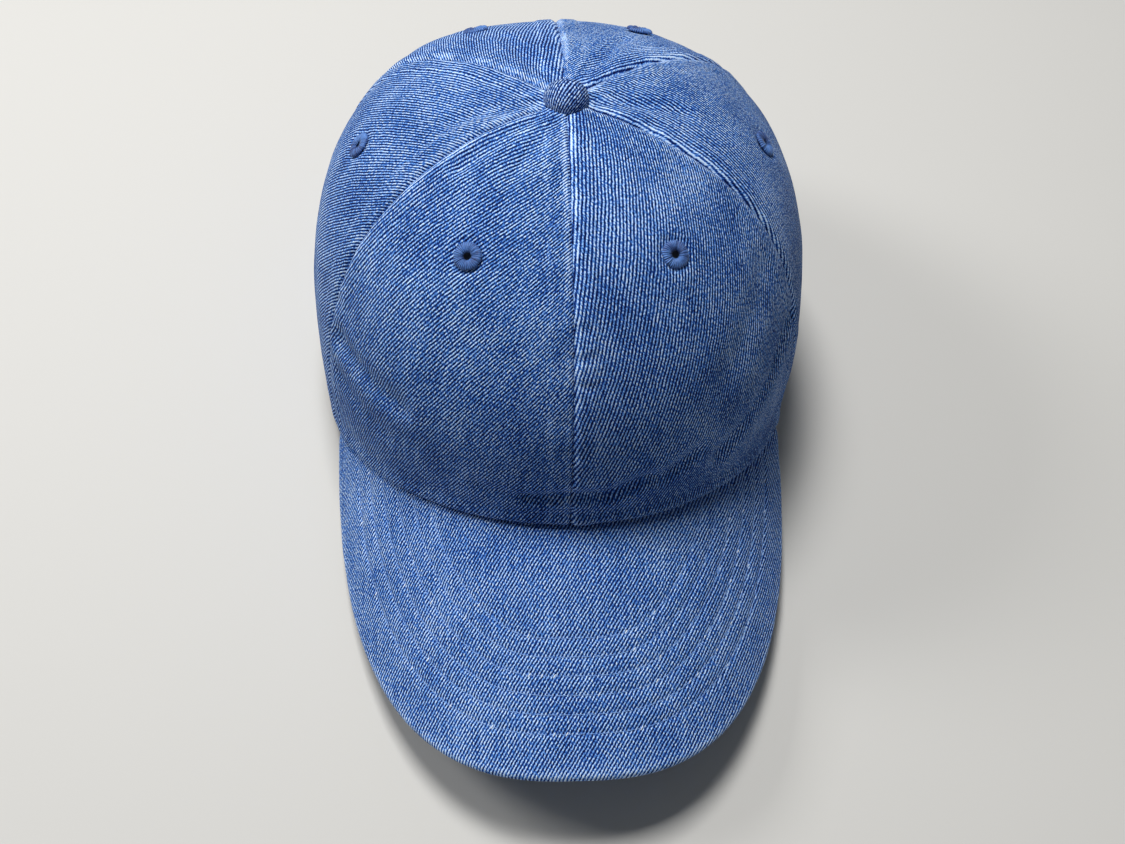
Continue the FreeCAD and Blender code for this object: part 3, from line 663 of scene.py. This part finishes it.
def visorRoot(part, inside):
    # where the crown stands on the visor, the same part of the way round as the edge
    turn = part * visor["corner"]
    scale = 1 - inside / crown["halfLength"]
    x, y = crown["halfWidth"] * math.sin(turn), -crown["halfLength"] * math.cos(turn)
    return visorFlat(scale * x, scale * y)


def seamX(spot):
    return visor["radius"] * math.sin(spot.x / visor["radius"])


def seamY(spot):
    back = visor["radius"] * math.cos(spot.x / visor["radius"]) * math.sin(visor["slope"])
    return spot.y * math.cos(visor["slope"]) - back


edgeTurns = [math.radians(-90 + 0.25 * step) for step in range(721)]
edgeLine = [visorEdge(turn) for turn in edgeTurns]
edgeTree = KDTree(len(edgeLine))
for number, spot in enumerate(edgeLine):
    edgeTree.insert(spot, number)
edgeTree.balance()
rowInsets = [visorLook["firstRow"] + visorLook["rowPitch"] * row for row in range(visorLook["stitchRows"])]


def edgeColumns(count):
    # the edge's own length, shared out evenly
    lengths = [0.0]
    for start, end in zip(edgeLine, edgeLine[1:]):
        lengths.append(lengths[-1] + (end - start).length)
    spots, number = [], 0
    for column in range(count + 1):
        wanted = lengths[-1] * column / count
        while number < len(lengths) - 2 and lengths[number + 1] < wanted:
            number += 1
        part = (wanted - lengths[number]) / (lengths[number + 1] - lengths[number])
        spots.append(edgeLine[number].lerp(edgeLine[number + 1], min(max(part, 0.0), 1.0)))
    return spots


def visorCover(name, top, look=visorLook):
    columns, rows = look["columns"], look["rows"]
    edges = edgeColumns(columns)
    roots = [visorRoot(2 * column / columns - 1, 0.9) for column in range(columns + 1)]
    half = visor["thickness"] / 2

    def pointAt(column, row):
        part = 1 - (1 - row / rows) ** 1.25  # closer lines at the edge
        spot = roots[column].lerp(edges[column], part)
        away = edgeTree.find(spot)[2] if part < 1 else 0.0
        roll = min(max(1 - away / look["edgeRoll"], 0.0), 1.0)
        drop = (half - 0.06) * (1 - math.sqrt(max(1 - roll * roll, 0.0)))
        channel = sum(bell(away - inset, 0.9) for inset in rowInsets)
        drop += look["channel"] * channel
        place = (spot.x, spot.y, 0)
        drop += 0.16 * softNoise(place, 9.0, 61)
        drop += 0.1 * softNoise(place, 3.2, 62) if away > 2 else 0.0
        drop = max(drop, -0.05)
        fromCrown = math.hypot(seamX(spot) / crown["halfWidth"], seamY(spot) / crown["halfLength"])
        drop += look["rootDip"] * bell((fromCrown - 1) * 90 - 0.2, 1.5)
        drop = min(drop, 0.85) if away > look["edgeRoll"] else drop  # stays above the board
        if not top:
            drop = visor["thickness"] - drop
        point, ring = visorSpot(spot.x, spot.y, drop)
        wear = 0.6 * bell(away - 0.7, 1.3) * (0.8 + 0.6 * softNoise(place, 4.0, 63))
        wear += 0.1 * channel
        return point, (spot.x, spot.y), wear

    core = (0, -100, -80 if top else 160)
    piece = gridPiece(name, columns, rows, pointAt, [visorDenim, denimBack], core=core, slotName="denim")
    return piece


upperCover = visorCover("visor_top_cloth", True)
lowerCover = visorCover("visor_underside_cloth", False)
for cover in (upperCover, lowerCover):
    thicken(cover, 0.8, backSlot=1)
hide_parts("visor_upper_cover")
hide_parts("visor_lower_cover")


def boardPiece(columns=120, rows=40):
    # the stiff sheet between the covers, cut a little smaller than they are
    edges = edgeColumns(columns)
    moved = []
    for column, spot in enumerate(edges):
        before, after = edges[max(column - 1, 0)], edges[min(column + 1, columns)]
        along = (after - before).normalized()
        moved.append(spot + Vector((-along.y, along.x, 0)) * visorLook["boardInset"])
    roots = [visorRoot(2 * column / columns - 1, 0.9) for column in range(columns + 1)]

    def pointAt(column, row):
        spot = roots[column].lerp(moved[column], row / rows)
        point, ring = visorSpot(spot.x, spot.y, visorLook["boardDepth"])
        return point, (spot.x, spot.y), 0.0

    name, core = "visor_board_sheet", (0, -100, -80)
    board = gridPiece(name, columns, rows, pointAt, [boardPlastic], core=core, slotName="visor_board")
    thicken(board, visorLook["board"])
    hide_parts("visor_board")


boardPiece()


def visorRow(inset, drop):
    # the edge moved inwards by the inset, as far as it lies in front of the crown
    run = []
    for before, spot, after in zip(edgeLine, edgeLine[1:], edgeLine[2:]):
        along = (after - before).normalized()
        inner = spot + Vector((-along.y, along.x, 0)) * inset
        if edgeTree.find(inner)[2] < inset - 0.15:
            continue
        place, ring = visorSpot(inner.x, inner.y, drop)
        if math.hypot(place.x / crown["halfWidth"], place.y / crown["halfLength"]) > 1.008:
            run.append((place, ring if drop < 1 else -ring))
    return run


for name, depth in (("visor_stitches", 0.22), ("visor_underside_stitches", visor["thickness"] - 0.22)):
    runs = [visorRow(inset, depth) for inset in rowInsets]
    stitchPiece(name, runs, visorThread, visorLook["stitch"], 3.2, visorLook["thread"])
# the white core of the cloth shows where the needle went in
nickRuns = [visorRow(inset, 0.2) for inset in rowInsets]
wale = math.radians(visorChanges["lean"])
pulled = Vector((math.sin(wale), 0, 0)) + visorLean * math.cos(wale)
nick = {"length": 1.5, "width": 0.38, "chance": 0.34, "along": pulled}
stitchPiece("visor_needle_nicks", nickRuns, whiteCore, visorLook["stitch"], **nick)
print("visor ready")

# button

buttonLook = {"radius": 6.8, "height": 4.6, "lift": 0.15, "rings": 26, "columns": 120, "tuck": 0.7}
apex = Vector((0, -crown["apexForward"], crown["height"]))


def buttonPoint(column, row, look=buttonLook):
    turn = 2 * math.pi * column / look["columns"]
    part = row / look["rings"]
    lean = part * math.pi * 0.62
    out = look["radius"] * math.sin(lean) ** 0.9
    up = look["height"] * math.cos(lean) if lean < math.pi / 2 else look["tuck"] * math.cos(lean) * 2
    uneven = 3 * softNoise((math.cos(turn) * 9, math.sin(turn) * 9, 0), 6.0, 71)
    out += smoothStep(0.6, 0.95, part) * 0.05 * math.sin(22 * turn + uneven)  # gathered edge
    place = apex + Vector((out * math.cos(turn), out * math.sin(turn), look["lift"] + 0.35 + up))
    place.z += 0.1 * softNoise(place, 3.5, 72)
    reach = part * look["radius"] * 1.35
    wear = 0.35 * bell(part - 0.8, 0.12)
    return place, (reach * math.cos(turn), reach * math.sin(turn)), wear


grid = (buttonLook["columns"], buttonLook["rings"])
button = gridPiece("button_cloth", *grid, buttonPoint, [buttonDenim], closed=True, slotName="denim")
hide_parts("button_cover")
print("button ready")

# satin-stitched eyelets

eyeletLook = {"hole": 1.2, "radius": 4.15, "rise": 0.85, "strands": 36, "rows": 16}


def eyeletPiece(place, side, sign, look=eyeletLook):
    angle, rise = eyeletSpots[place]
    centre, normal = crownPoint(sign * angle, rise), crownNormal(sign * angle, rise)
    aside = Vector((0, 0, 1)).cross(normal).normalized()
    up = normal.cross(aside)
    columns = look["strands"] * 4
    seed = 80 + 3 * sign + len(place)

    def pointAt(column, row):
        turn = 2 * math.pi * column / columns
        part = row / look["rows"]
        lean = math.pi * (1.28 * part - 0.14)
        middle, half = (look["radius"] + look["hole"]) / 2, (look["radius"] - look["hole"]) / 2
        strand = 0.2 * abs(math.sin(look["strands"] * turn / 2)) - 0.12
        strand += 0.3 * softNoise((math.cos(turn) * 8, math.sin(turn) * 8, part), 1.4, seed)
        out = middle - (half + strand * 0.8) * math.cos(lean)
        height = (look["rise"] + strand) * math.sin(lean) - 0.05
        wobble = 0.16 * softNoise((math.cos(turn) * 4, math.sin(turn) * 4, 0), 3.0, seed + 1)
        out += wobble * (1 if part > 0.6 else 0.3)
        spot = centre + (aside * math.cos(turn) + up * math.sin(turn)) * out + normal * height
        return spot, (turn * look["strands"], out), 0.0

    name = f"{place}_eyelet_stitching_{side}"
    ring = gridPiece(
        name, columns, look["rows"], pointAt, [eyeletThread], closed=True, slotName="eyelet_thread"
    )
    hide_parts(f"{place}_eyelet_{side}")


for place in eyeletSpots:
    for side, sign in (("left", 1), ("right", -1)):
        eyeletPiece(place, side, sign)
print("eyelets ready")

# bound edge of the back opening


def backSpot(x, z):
    # angle and rise of the point of the back that shows at x and z from behind
    angle, rise = 180.0, riseAbove(180.0, z)
    for attempt in range(8):
        wide = crown["halfWidth"]
        if angle < 179.9:
            wide = crownPoint(max(angle, 90.0), rise).x / max(math.sin(math.radians(angle)), 1e-6)
        angle = 180.0 - math.degrees(math.asin(min(abs(x) / wide, 0.98)))
        rise = riseAbove(angle, z)
    return math.copysign(angle, x) if x else 180.0, rise


bindingLook = {"width": 5.0, "cloth": 0.55, "columns": 150, "rows": 22, "stitchAt": 3.9}


def archSpot(part, reach):
    # a spot reach outside the edge of the opening, part of the way from hem to hem
    half, top = crown["openingHalfWidth"], crown["openingHeight"]
    spring = top - half
    total = 2 * spring + math.pi * half
    walked = part * total
    if walked < spring:
        return -half - reach, walked
    if walked > total - spring:
        return half + reach, total - walked
    turn = (walked - spring) / half
    return -(half + reach) * math.cos(turn), spring + (half + reach) * math.sin(turn)


def bindingPoint(column, row, look=bindingLook):
    part = row / look["rows"]
    reach = abs(2 * part - 1) * (look["width"] + 0.35) - 0.35
    reach = max(reach, -0.35)
    turn = min(max((part - 0.5) * 9, -1.0), 1.0)
    stitched = 1 - 0.12 * bell(reach - look["stitchAt"], 0.8)
    depth = 0.5 + (0.5 + look["cloth"] / 2 + 0.12) * math.sin(turn * math.pi / 2) * stitched
    x, z = archSpot(column / look["columns"], reach)
    angle, rise = backSpot(x, z)
    ripple = 0.12 * softNoise((column * 1.1, row * 0.5, 0), 4.0, 91)
    place = crownPoint(angle, rise) - crownNormal(angle, rise) * (depth + (ripple if turn > 0 else -ripple))
    wear = 0.7 * bell(reach + 0.2, 0.9)
    return place, (column * 1.02, row * 0.6), wear


grid = (bindingLook["columns"], bindingLook["rows"])
binding = gridPiece("opening_binding_cloth", *grid, bindingPoint, [crownDenim, denimBack], slotName="denim")
thicken(binding, bindingLook["cloth"], offset=0.0)
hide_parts("opening_binding")


def bindingRun(depth, look=bindingLook):
    run = []
    for step in range(301):
        x, z = archSpot(step / 300, look["stitchAt"])
        angle, rise = backSpot(x, z)
        normal = crownNormal(angle, rise)
        run.append((crownPoint(angle, rise) - normal * depth, normal if depth < 0 else -normal))
    return run


stitchPiece("opening_binding_stitches", [bindingRun(-0.72), bindingRun(1.72)], visorThread, 3.2, 2.6, 0.42)
print("binding ready")

# seam tapes and sweatband, inside the crown

innerLook = {
    "tape": 12.0,
    "tapeCloth": 0.45,
    "tapeDepth": 2.0,
    "tapeTop": 15.0,
    "tapeLow": 1.6,
    "tapeStitch": 4.6,  # rows of stitches this far from its middle
    "bandLow": 1.5,
    "bandHigh": 32.0,
    "bandCloth": 1.0,
    "bandDepth": 2.5,
    "bandBack": 8.15,  # the pockets for the strap's ends stand off this far
    "pocketStart": 135.3,
    "pocketRamp": 24.0,
    "bandEnd": 152.5,
    "bandColumns": 330,
    "bandRows": 22,
}


def seamTape(name, seam, low, look=innerLook):
    columns, rows = 12, 90
    start, end = riseAbove(seam, low), riseWithin(look["tapeTop"])

    def spotAt(aside, rise):
        scale = (crownPoint(seam + 0.5, rise) - crownPoint(seam - 0.5, rise)).length
        return seam + aside / scale

    def pointAt(column, row):
        aside = look["tape"] * (column / columns - 0.5)
        rise = start + (end - start) * row / rows
        angle = spotAt(aside, rise)
        base = crownPoint(angle, rise)
        relief = crownRelief(angle, rise, base, base.z - hemHeight(angle))
        ripple = 0.12 * softNoise((row * 1.2, aside, seam), 6.0, 101)
        depth = look["tapeDepth"] - relief + ripple - 0.2 * bell(abs(aside) - look["tapeStitch"], 0.8)
        return base - crownNormal(angle, rise) * depth, (aside, row * 1.3), 0.0

    piece = gridPiece(f"{name}_cloth", columns, rows, pointAt, [tapeCloth], slotName="seam_tape")
    thicken(piece, look["tapeCloth"], offset=0.0)
    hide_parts(name)
    spots = [crownPoint(seam, start + (end - start) * row / rows) for row in range(rows + 1)]
    runs = []
    for aside in (-look["tapeStitch"], look["tapeStitch"]):
        run = []
        for step in range(201):
            rise = start + (end - start) * step / 200
            angle = spotAt(aside, rise)
            normal, base = crownNormal(angle, rise), crownPoint(angle, rise)
            relief = crownRelief(angle, rise, base, base.z - hemHeight(angle))
            run.append((base - normal * (look["tapeDepth"] - relief + 0.3), -normal))
        runs.append(run)
    return runs


tapeRuns = []
backLow = crown["openingHeight"] + bindingLook["width"] + 1.0
tapeRuns += seamTape("front_seam_tape", 0.0, innerLook["tapeLow"])
tapeRuns += seamTape("back_seam_tape", 180.0, backLow)
for side, sign in (("left", 1), ("right", -1)):
    tapeRuns += seamTape(f"front_side_seam_tape_{side}", sign * crown["frontSeam"], innerLook["tapeLow"])
    tapeRuns += seamTape(f"side_back_seam_tape_{side}", sign * crown["backSeam"], innerLook["tapeLow"])
stitchPiece("seam_tape_stitches", tapeRuns, innerThread, 3.0, 2.5, 0.4, slotName="seam_tape")


def bandDepth(angle, look=innerLook):
    ramp = smoothStep(0.0, 1.0, (abs(angle) - look["pocketStart"]) / look["pocketRamp"] + 1)
    return look["bandDepth"] + (look["bandBack"] - look["bandDepth"]) * ramp


def bandSpot(angle, height, extra):
    rise = riseAbove(angle, height)
    base = crownPoint(angle, rise)
    relief = min(crownRelief(angle, rise, base, height), 0.3)
    return base - crownNormal(angle, rise) * (bandDepth(angle) + extra - relief)


def bandPoint(column, row, look=innerLook):
    angle = look["bandEnd"] * (2 * column / look["bandColumns"] - 1)
    height = look["bandLow"] + (look["bandHigh"] - look["bandLow"]) * row / look["bandRows"]
    puckers = 0.3 * softNoise((angle * 1.5, height * 0.2, 0), 4.0, 111)
    puckers += 0.25 * softNoise((angle * 1.5, 0, 0), 9.0, 112)
    extra = (0.35 + puckers) * bell(height - 16, 14)
    for stitched in bandStitches:
        extra -= 0.3 * bell(height - stitched, 1.0)
    return bandSpot(angle, height, extra), (angle * 1.5, height), 0.3 * bell(height - 31.5, 1.2)


bandStitches = (4.0, 30.0)
grid = (innerLook["bandColumns"], innerLook["bandRows"])
band = gridPiece("sweatband_cloth", *grid, bandPoint, [bandCloth], slotName="sweatband")
thicken(band, innerLook["bandCloth"], offset=0.0)
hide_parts("sweatband")
bandRuns = []
for height in bandStitches:
    run = []
    for step in range(801):
        angle = innerLook["bandEnd"] * (step / 400 - 1)
        normal = crownNormal(angle, riseAbove(angle, height))
        run.append((bandSpot(angle, height, 0.25 + innerLook["bandCloth"] / 2), -normal))
    bandRuns.append(run)
stitchPiece("sweatband_stitches", bandRuns, visorThread, 3.2, 2.7, 0.42, slotName="sweatband")
print("inside ready")

# strap, keeper tab and buckle

strapOuter = crown["halfLength"] - crown["cloth"] - strapCentreY - strap["inset"]
strapMiddle = strapOuter - strap["thickness"] / 2
buckle = {
    "clearance": 0.45,
    "halfLength": 6.0,
    "plate": 0.9,
    "ear": 1.0,
    "earRim": 1.0,
    "pin": 1.0,
    "pinAcross": 3.0,
    "hub": 1.9,
    "camRise": 0.6,
    "lever": 14.0,
    "blade": 1.2,
    "bar": 0.9,
    "barAcross": 9.0,
    "fold": 0.7,
    "barRim": 0.8,
}
pinOut = strap["thickness"] / 2 + buckle["clearance"] + buckle["hub"] + buckle["camRise"]
earInside = strap["height"] / 2 + buckle["clearance"]
pinPlace = restPlace.inverted() @ Vector(leverJoint["pos_m"])
pinTurn = math.atan2(pinPlace.x, pinPlace.y - strapCentreY)
buckleTurn = pinTurn - math.atan2(buckle["pinAcross"], strapMiddle + pinOut)
openingEdge = math.asin(crown["openingHalfWidth"] / strapMiddle)


def roundSpot(radius, turn, z):
    # a place on the strap's own circle, turn in radians from the back centre
    return Vector((radius * math.sin(turn), strapCentreY + radius * math.cos(turn), strap["hemGap"] + z))


strapLook = {"columns": 160, "rows": 20, "stitchInset": 2.2}


def strapPoint(column, row, look=strapLook):
    start = -openingEdge - math.radians(13.0)
    end = openingEdge + math.radians(18.0)
    turn = start + (end - start) * column / look["columns"]
    z = strap["height"] * row / look["rows"]
    edge = min(z, strap["height"] - z)
    relief = 0.1 * softNoise((turn * 60, z, 0), 7.0, 121)
    relief -= 0.28 * bell(edge - look["stitchInset"], 0.7) + 0.35 * bell(edge, 0.8)
    ripple = 0.1 * softNoise((turn * 60, 0, 0), 3.0, 122) * bell(edge - 1.5, 2.0)
    place = roundSpot(strapOuter + relief + ripple, turn, z)
    patchy = 0.8 + 0.5 * softNoise((turn * 60, 0, 0), 4.0, 123)
    return place, (turn * strapMiddle, z), 0.75 * bell(edge - 0.4, 0.9) * patchy


core = (0, strapCentreY, 10)
grid = (strapLook["columns"], strapLook["rows"])
strapCloth = gridPiece(
    "strap_cloth", *grid, strapPoint, [crownDenim, crownDenim], core=core, body="strap", slotName="denim"
)
thicken(strapCloth, strap["thickness"] - 0.2)
softEdge = strapCloth.modifiers.new("Folded edge", "BEVEL")
softEdge.width = 0.5 * mm
softEdge.segments = 3
softEdge.limit_method = "ANGLE"
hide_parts("strap")
strapRuns = []
quarterDegrees = int(math.degrees(2 * openingEdge) * 4 + 120)
turns = [-openingEdge + math.radians(-12.5 + 0.25 * step) for step in range(quarterDegrees)]
for z in (strapLook["stitchInset"], strap["height"] - strapLook["stitchInset"]):
    for radius, out in ((strapOuter - 0.2, 1), (strapOuter - strap["thickness"] + 0.1, -1)):
        run = []
        for turn in turns:
            run.append((roundSpot(radius, turn, z), Vector((math.sin(turn), math.cos(turn), 0)) * out))
        strapRuns.append(run)
stitchPiece("strap_stitches", strapRuns, visorThread, 3.2, 2.7, 0.42, body="strap")

tabLook = {
    "inset": 0.5,
    "cover": math.radians(11.0),
    "cloth": 0.62,
    "thickness": 1.4,
    "columns": 64,
    "rows": 18,
    "foldStart": 24,  # columns at which the cloth meets the bar and leaves it
    "foldEnd": 40,
}
tabOuter = strapOuter - strap["thickness"] - buckle["clearance"]
barOut = -(
    strap["thickness"] / 2
    + buckle["barAcross"] ** 2 / (2 * strapMiddle)
    + buckle["clearance"]
    + buckle["bar"]
    + 0.05
    + buckle["fold"]
)
barTurn = buckleTurn + math.atan2(buckle["barAcross"], strapMiddle + barOut)
barRadius = math.hypot(buckle["barAcross"], strapMiddle + barOut)


def tabPoint(column, row, look=tabLook):
    # outer layer, round the bar, and back as the inner layer
    foldStart, foldEnd = look["foldStart"], look["foldEnd"]
    z = look["inset"] + (strap["height"] - 2 * look["inset"]) * row / look["rows"]
    wrap = buckle["bar"] + 0.05 + look["cloth"] / 2 + 0.05
    layer = look["cloth"] / 2
    endTurn = openingEdge + look["cover"]
    edge = min(z - look["inset"], strap["height"] - look["inset"] - z)
    if column <= foldStart:
        turn = endTurn + (barTurn - endTurn) * column / foldStart
        outer = tabOuter - layer
        radius = outer + (barRadius + wrap - outer) * smoothStep(foldStart - 10, foldStart, column)
    elif column < foldEnd:
        lean = math.pi * (column - foldStart) / (foldEnd - foldStart)
        radius = barRadius + wrap * math.cos(lean)
        turn = barTurn - wrap * math.sin(lean) / barRadius
    else:
        turn = barTurn + (endTurn - barTurn) * (column - foldEnd) / (look["columns"] - foldEnd)
        inner, near = tabOuter - look["thickness"] + layer, barRadius - wrap
        radius = near + (inner - near) * smoothStep(foldEnd, foldEnd + 10, column)
    return roundSpot(radius, turn, z), (column * 0.55, z), 0.6 * bell(edge, 0.8)


grid = (tabLook["columns"], tabLook["rows"])
tab = gridPiece("keeper_tab_cloth", *grid, tabPoint, [crownDenim, crownDenim], slotName="denim")
thicken(tab, tabLook["cloth"], offset=0.0)
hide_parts("keeper_tab")


bevelled = {"affect": "EDGES", "profile": 0.5, "material": -1, "clamp_overlap": True}


def roundedBlock(shape, low, high, axis=None, radius=0.0):
    # a block between two corners, with the edges along an axis rounded
    middle = (Vector(low) + Vector(high)) / 2
    made = bmesh.ops.create_cube(shape, size=1.0)
    bmesh.ops.scale(shape, vec=Vector(high) - Vector(low), verts=made["verts"])
    bmesh.ops.translate(shape, vec=middle, verts=made["verts"])
    if axis is not None:
        edges = {edge for vert in made["verts"] for edge in vert.link_edges}
        along = [e for e in edges if abs((e.verts[0].co - e.verts[1].co).normalized()[axis]) > 0.9]
        bmesh.ops.bevel(shape, geom=along, offset=radius, segments=8, **bevelled)


def metalPiece(name, build, node, body="crown"):
    # built in the buckle's frame: X along the strap, Y outwards, Z up
    shape = bmesh.new()
    build(shape)
    bmesh.ops.remove_doubles(shape, verts=shape.verts, dist=0.0001)
    joined = [edge for edge in shape.edges if len(edge.link_faces) == 2]
    sharp = [edge for edge in joined if edge.calc_face_angle(0) > math.radians(50)]
    bmesh.ops.bevel(shape, geom=sharp, offset=0.16, segments=2, **bevelled)
    bmesh.ops.recalc_face_normals(shape, faces=shape.faces)
    origin = roundSpot(strapMiddle, buckleTurn, strap["height"] / 2)
    spot = restPlace @ Matrix.Translation(origin) @ Matrix.Rotation(-buckleTurn, 4, "Z")
    bmesh.ops.transform(shape, matrix=spot, verts=shape.verts)
    piece = finishPiece(name, shape, [antiqueBrass], body=body, slotName="buckle_brass")
    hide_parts(node)


def rod(shape, radius, x, y, halfSpan):
    size = {"radius1": radius, "radius2": radius, "depth": 2 * halfSpan}
    bmesh.ops.create_cone(shape, cap_ends=True, segments=40, matrix=Matrix.Translation((x, y, 0)), **size)


def buildFrame(shape):
    half = buckle["halfLength"]
    sag = half**2 / (2 * strapMiddle)
    top = -(strap["thickness"] / 2 + sag + buckle["clearance"])
    low = top - buckle["plate"]
    outside = earInside + buckle["ear"]
    roundedBlock(shape, (-half, low, -outside), (half, top, outside))
    earTop = pinOut + buckle["pin"] + buckle["earRim"]
    reach = buckle["bar"] + buckle["barRim"]
    for direction in (-1, 1):
        near, far = sorted((direction * earInside, direction * outside))
        roundedBlock(shape, (-half, low, near), (half, earTop, far), 2, 1.6)
        armEnd = (buckle["barAcross"] + reach, top, far)
        roundedBlock(shape, (half - 2.0, barOut - reach, near), armEnd, 2, 1.2)
    rod(shape, buckle["bar"], buckle["barAcross"], barOut, earInside)


def buildPin(shape):
    rod(shape, buckle["pin"], buckle["pinAcross"], pinOut, earInside + buckle["ear"])


def buildLever(shape):
    half = earInside - buckle["clearance"]
    rod(shape, buckle["hub"], buckle["pinAcross"], pinOut, half)
    rod(shape, buckle["hub"], buckle["pinAcross"], pinOut - buckle["camRise"], half)
    end = buckle["pinAcross"] - buckle["lever"]
    under, over = pinOut - buckle["blade"] / 2, pinOut + buckle["blade"] / 2
    roundedBlock(shape, (end, under, -half), (buckle["pinAcross"], over, half), 1, 3.0)
    lip = half * 0.72
    roundedBlock(shape, (end + 0.6, pinOut, -lip), (end + 2.0, over + 0.45, lip), 1, 0.6)


metalPiece("buckle_frame_brass", buildFrame, "buckle_frame")
metalPiece("buckle_pin_brass", buildPin, "buckle_pin")
metalPiece("buckle_lever_brass", buildLever, "buckle_lever", body="buckle_lever")
print("closure ready")

# finishes of the nodes that stay

for name in ("button_shell", "button_rivet"):
    node = bpy.data.objects[name]
    if not node.material_slots:
        node.data.materials.append(pressedSteel)
    for slot in node.material_slots:
        slot.material = pressedSteel

# stage, light and camera

view = {
    "target": Vector((-1.45, -69.3, 45.0)),
    "distance": 439.7,
    "turn": math.radians(-5.04),
    "height": math.radians(54.53),
    "roll": math.radians(3.31),
    "lens": 45.55,
}


def addCamera():
    camera = bpy.data.objects.new("camera", bpy.data.cameras.new("camera"))
    camera.data.lens = view["lens"]
    camera.data.sensor_width = 36.0
    turn, height = view["turn"], view["height"]
    back = Vector((math.sin(turn) * math.cos(height), -math.cos(turn) * math.cos(height), math.sin(height)))
    right = Vector((0, 0, 1)).cross(back).normalized()
    up = back.cross(right)
    rolled = right * math.cos(view["roll"]) + up * math.sin(view["roll"])
    up = back.cross(rolled)
    turnMatrix = Matrix((rolled, up, back)).transposed().to_4x4()
    spot = restPlace @ (view["target"] + back * view["distance"])
    camera.matrix_world = Matrix.Translation(spot) @ Matrix.Rotation(-tip, 4, "X") @ turnMatrix
    bpy.context.scene.collection.objects.link(camera)
    bpy.context.scene.camera = camera


def addLight(name, place, target, size, power, colour=(1, 1, 1)):
    light = bpy.data.objects.new(name, bpy.data.lights.new(name, "AREA"))
    light.data.size = size
    light.data.energy = power
    light.data.color = colour
    light.location = place
    light.rotation_euler = (Vector(target) - Vector(place)).to_track_quat("-Z", "Y").to_euler()
    bpy.context.scene.collection.objects.link(light)


def addStage():
    shape = bmesh.new()
    bmesh.ops.create_grid(shape, x_segments=1, y_segments=1, size=3.0)
    mesh = bpy.data.meshes.new("floor")
    shape.to_mesh(mesh)
    shape.free()
    floor = bpy.data.objects.new("floor", mesh)
    bpy.context.scene.collection.objects.link(floor)
    material, tree, shader = newMaterial("pale matt studio floor")
    shader.inputs["Base Color"].default_value = linear("#cacac7")
    shader.inputs["Roughness"].default_value = 0.75
    mesh.materials.append(material)
    world = bpy.data.worlds.new("studio")
    world.use_nodes = True
    world.node_tree.nodes["Background"].inputs["Color"].default_value = linear("#e6ebf2")
    world.node_tree.nodes["Background"].inputs["Strength"].default_value = 0.11
    bpy.context.scene.world = world
    bpy.context.scene.view_settings.view_transform = "Standard"  # shows the colours as they are set
    addLight("overhead", (-0.15, 0.32, 1.15), (0, -0.04, 0.05), 0.35, 13.6, (1.0, 0.98, 0.96))
    addLight("window", (-1.0, 0.3, 0.85), (0, -0.02, 0.05), 0.4, 7.0, (1.0, 0.98, 0.96))
    addLight("front fill", (0.4, -1.1, 0.9), (0, -0.05, 0.05), 0.9, 0.8, (0.9, 0.95, 1.0))


addStage()
addCamera()
print("stage ready")
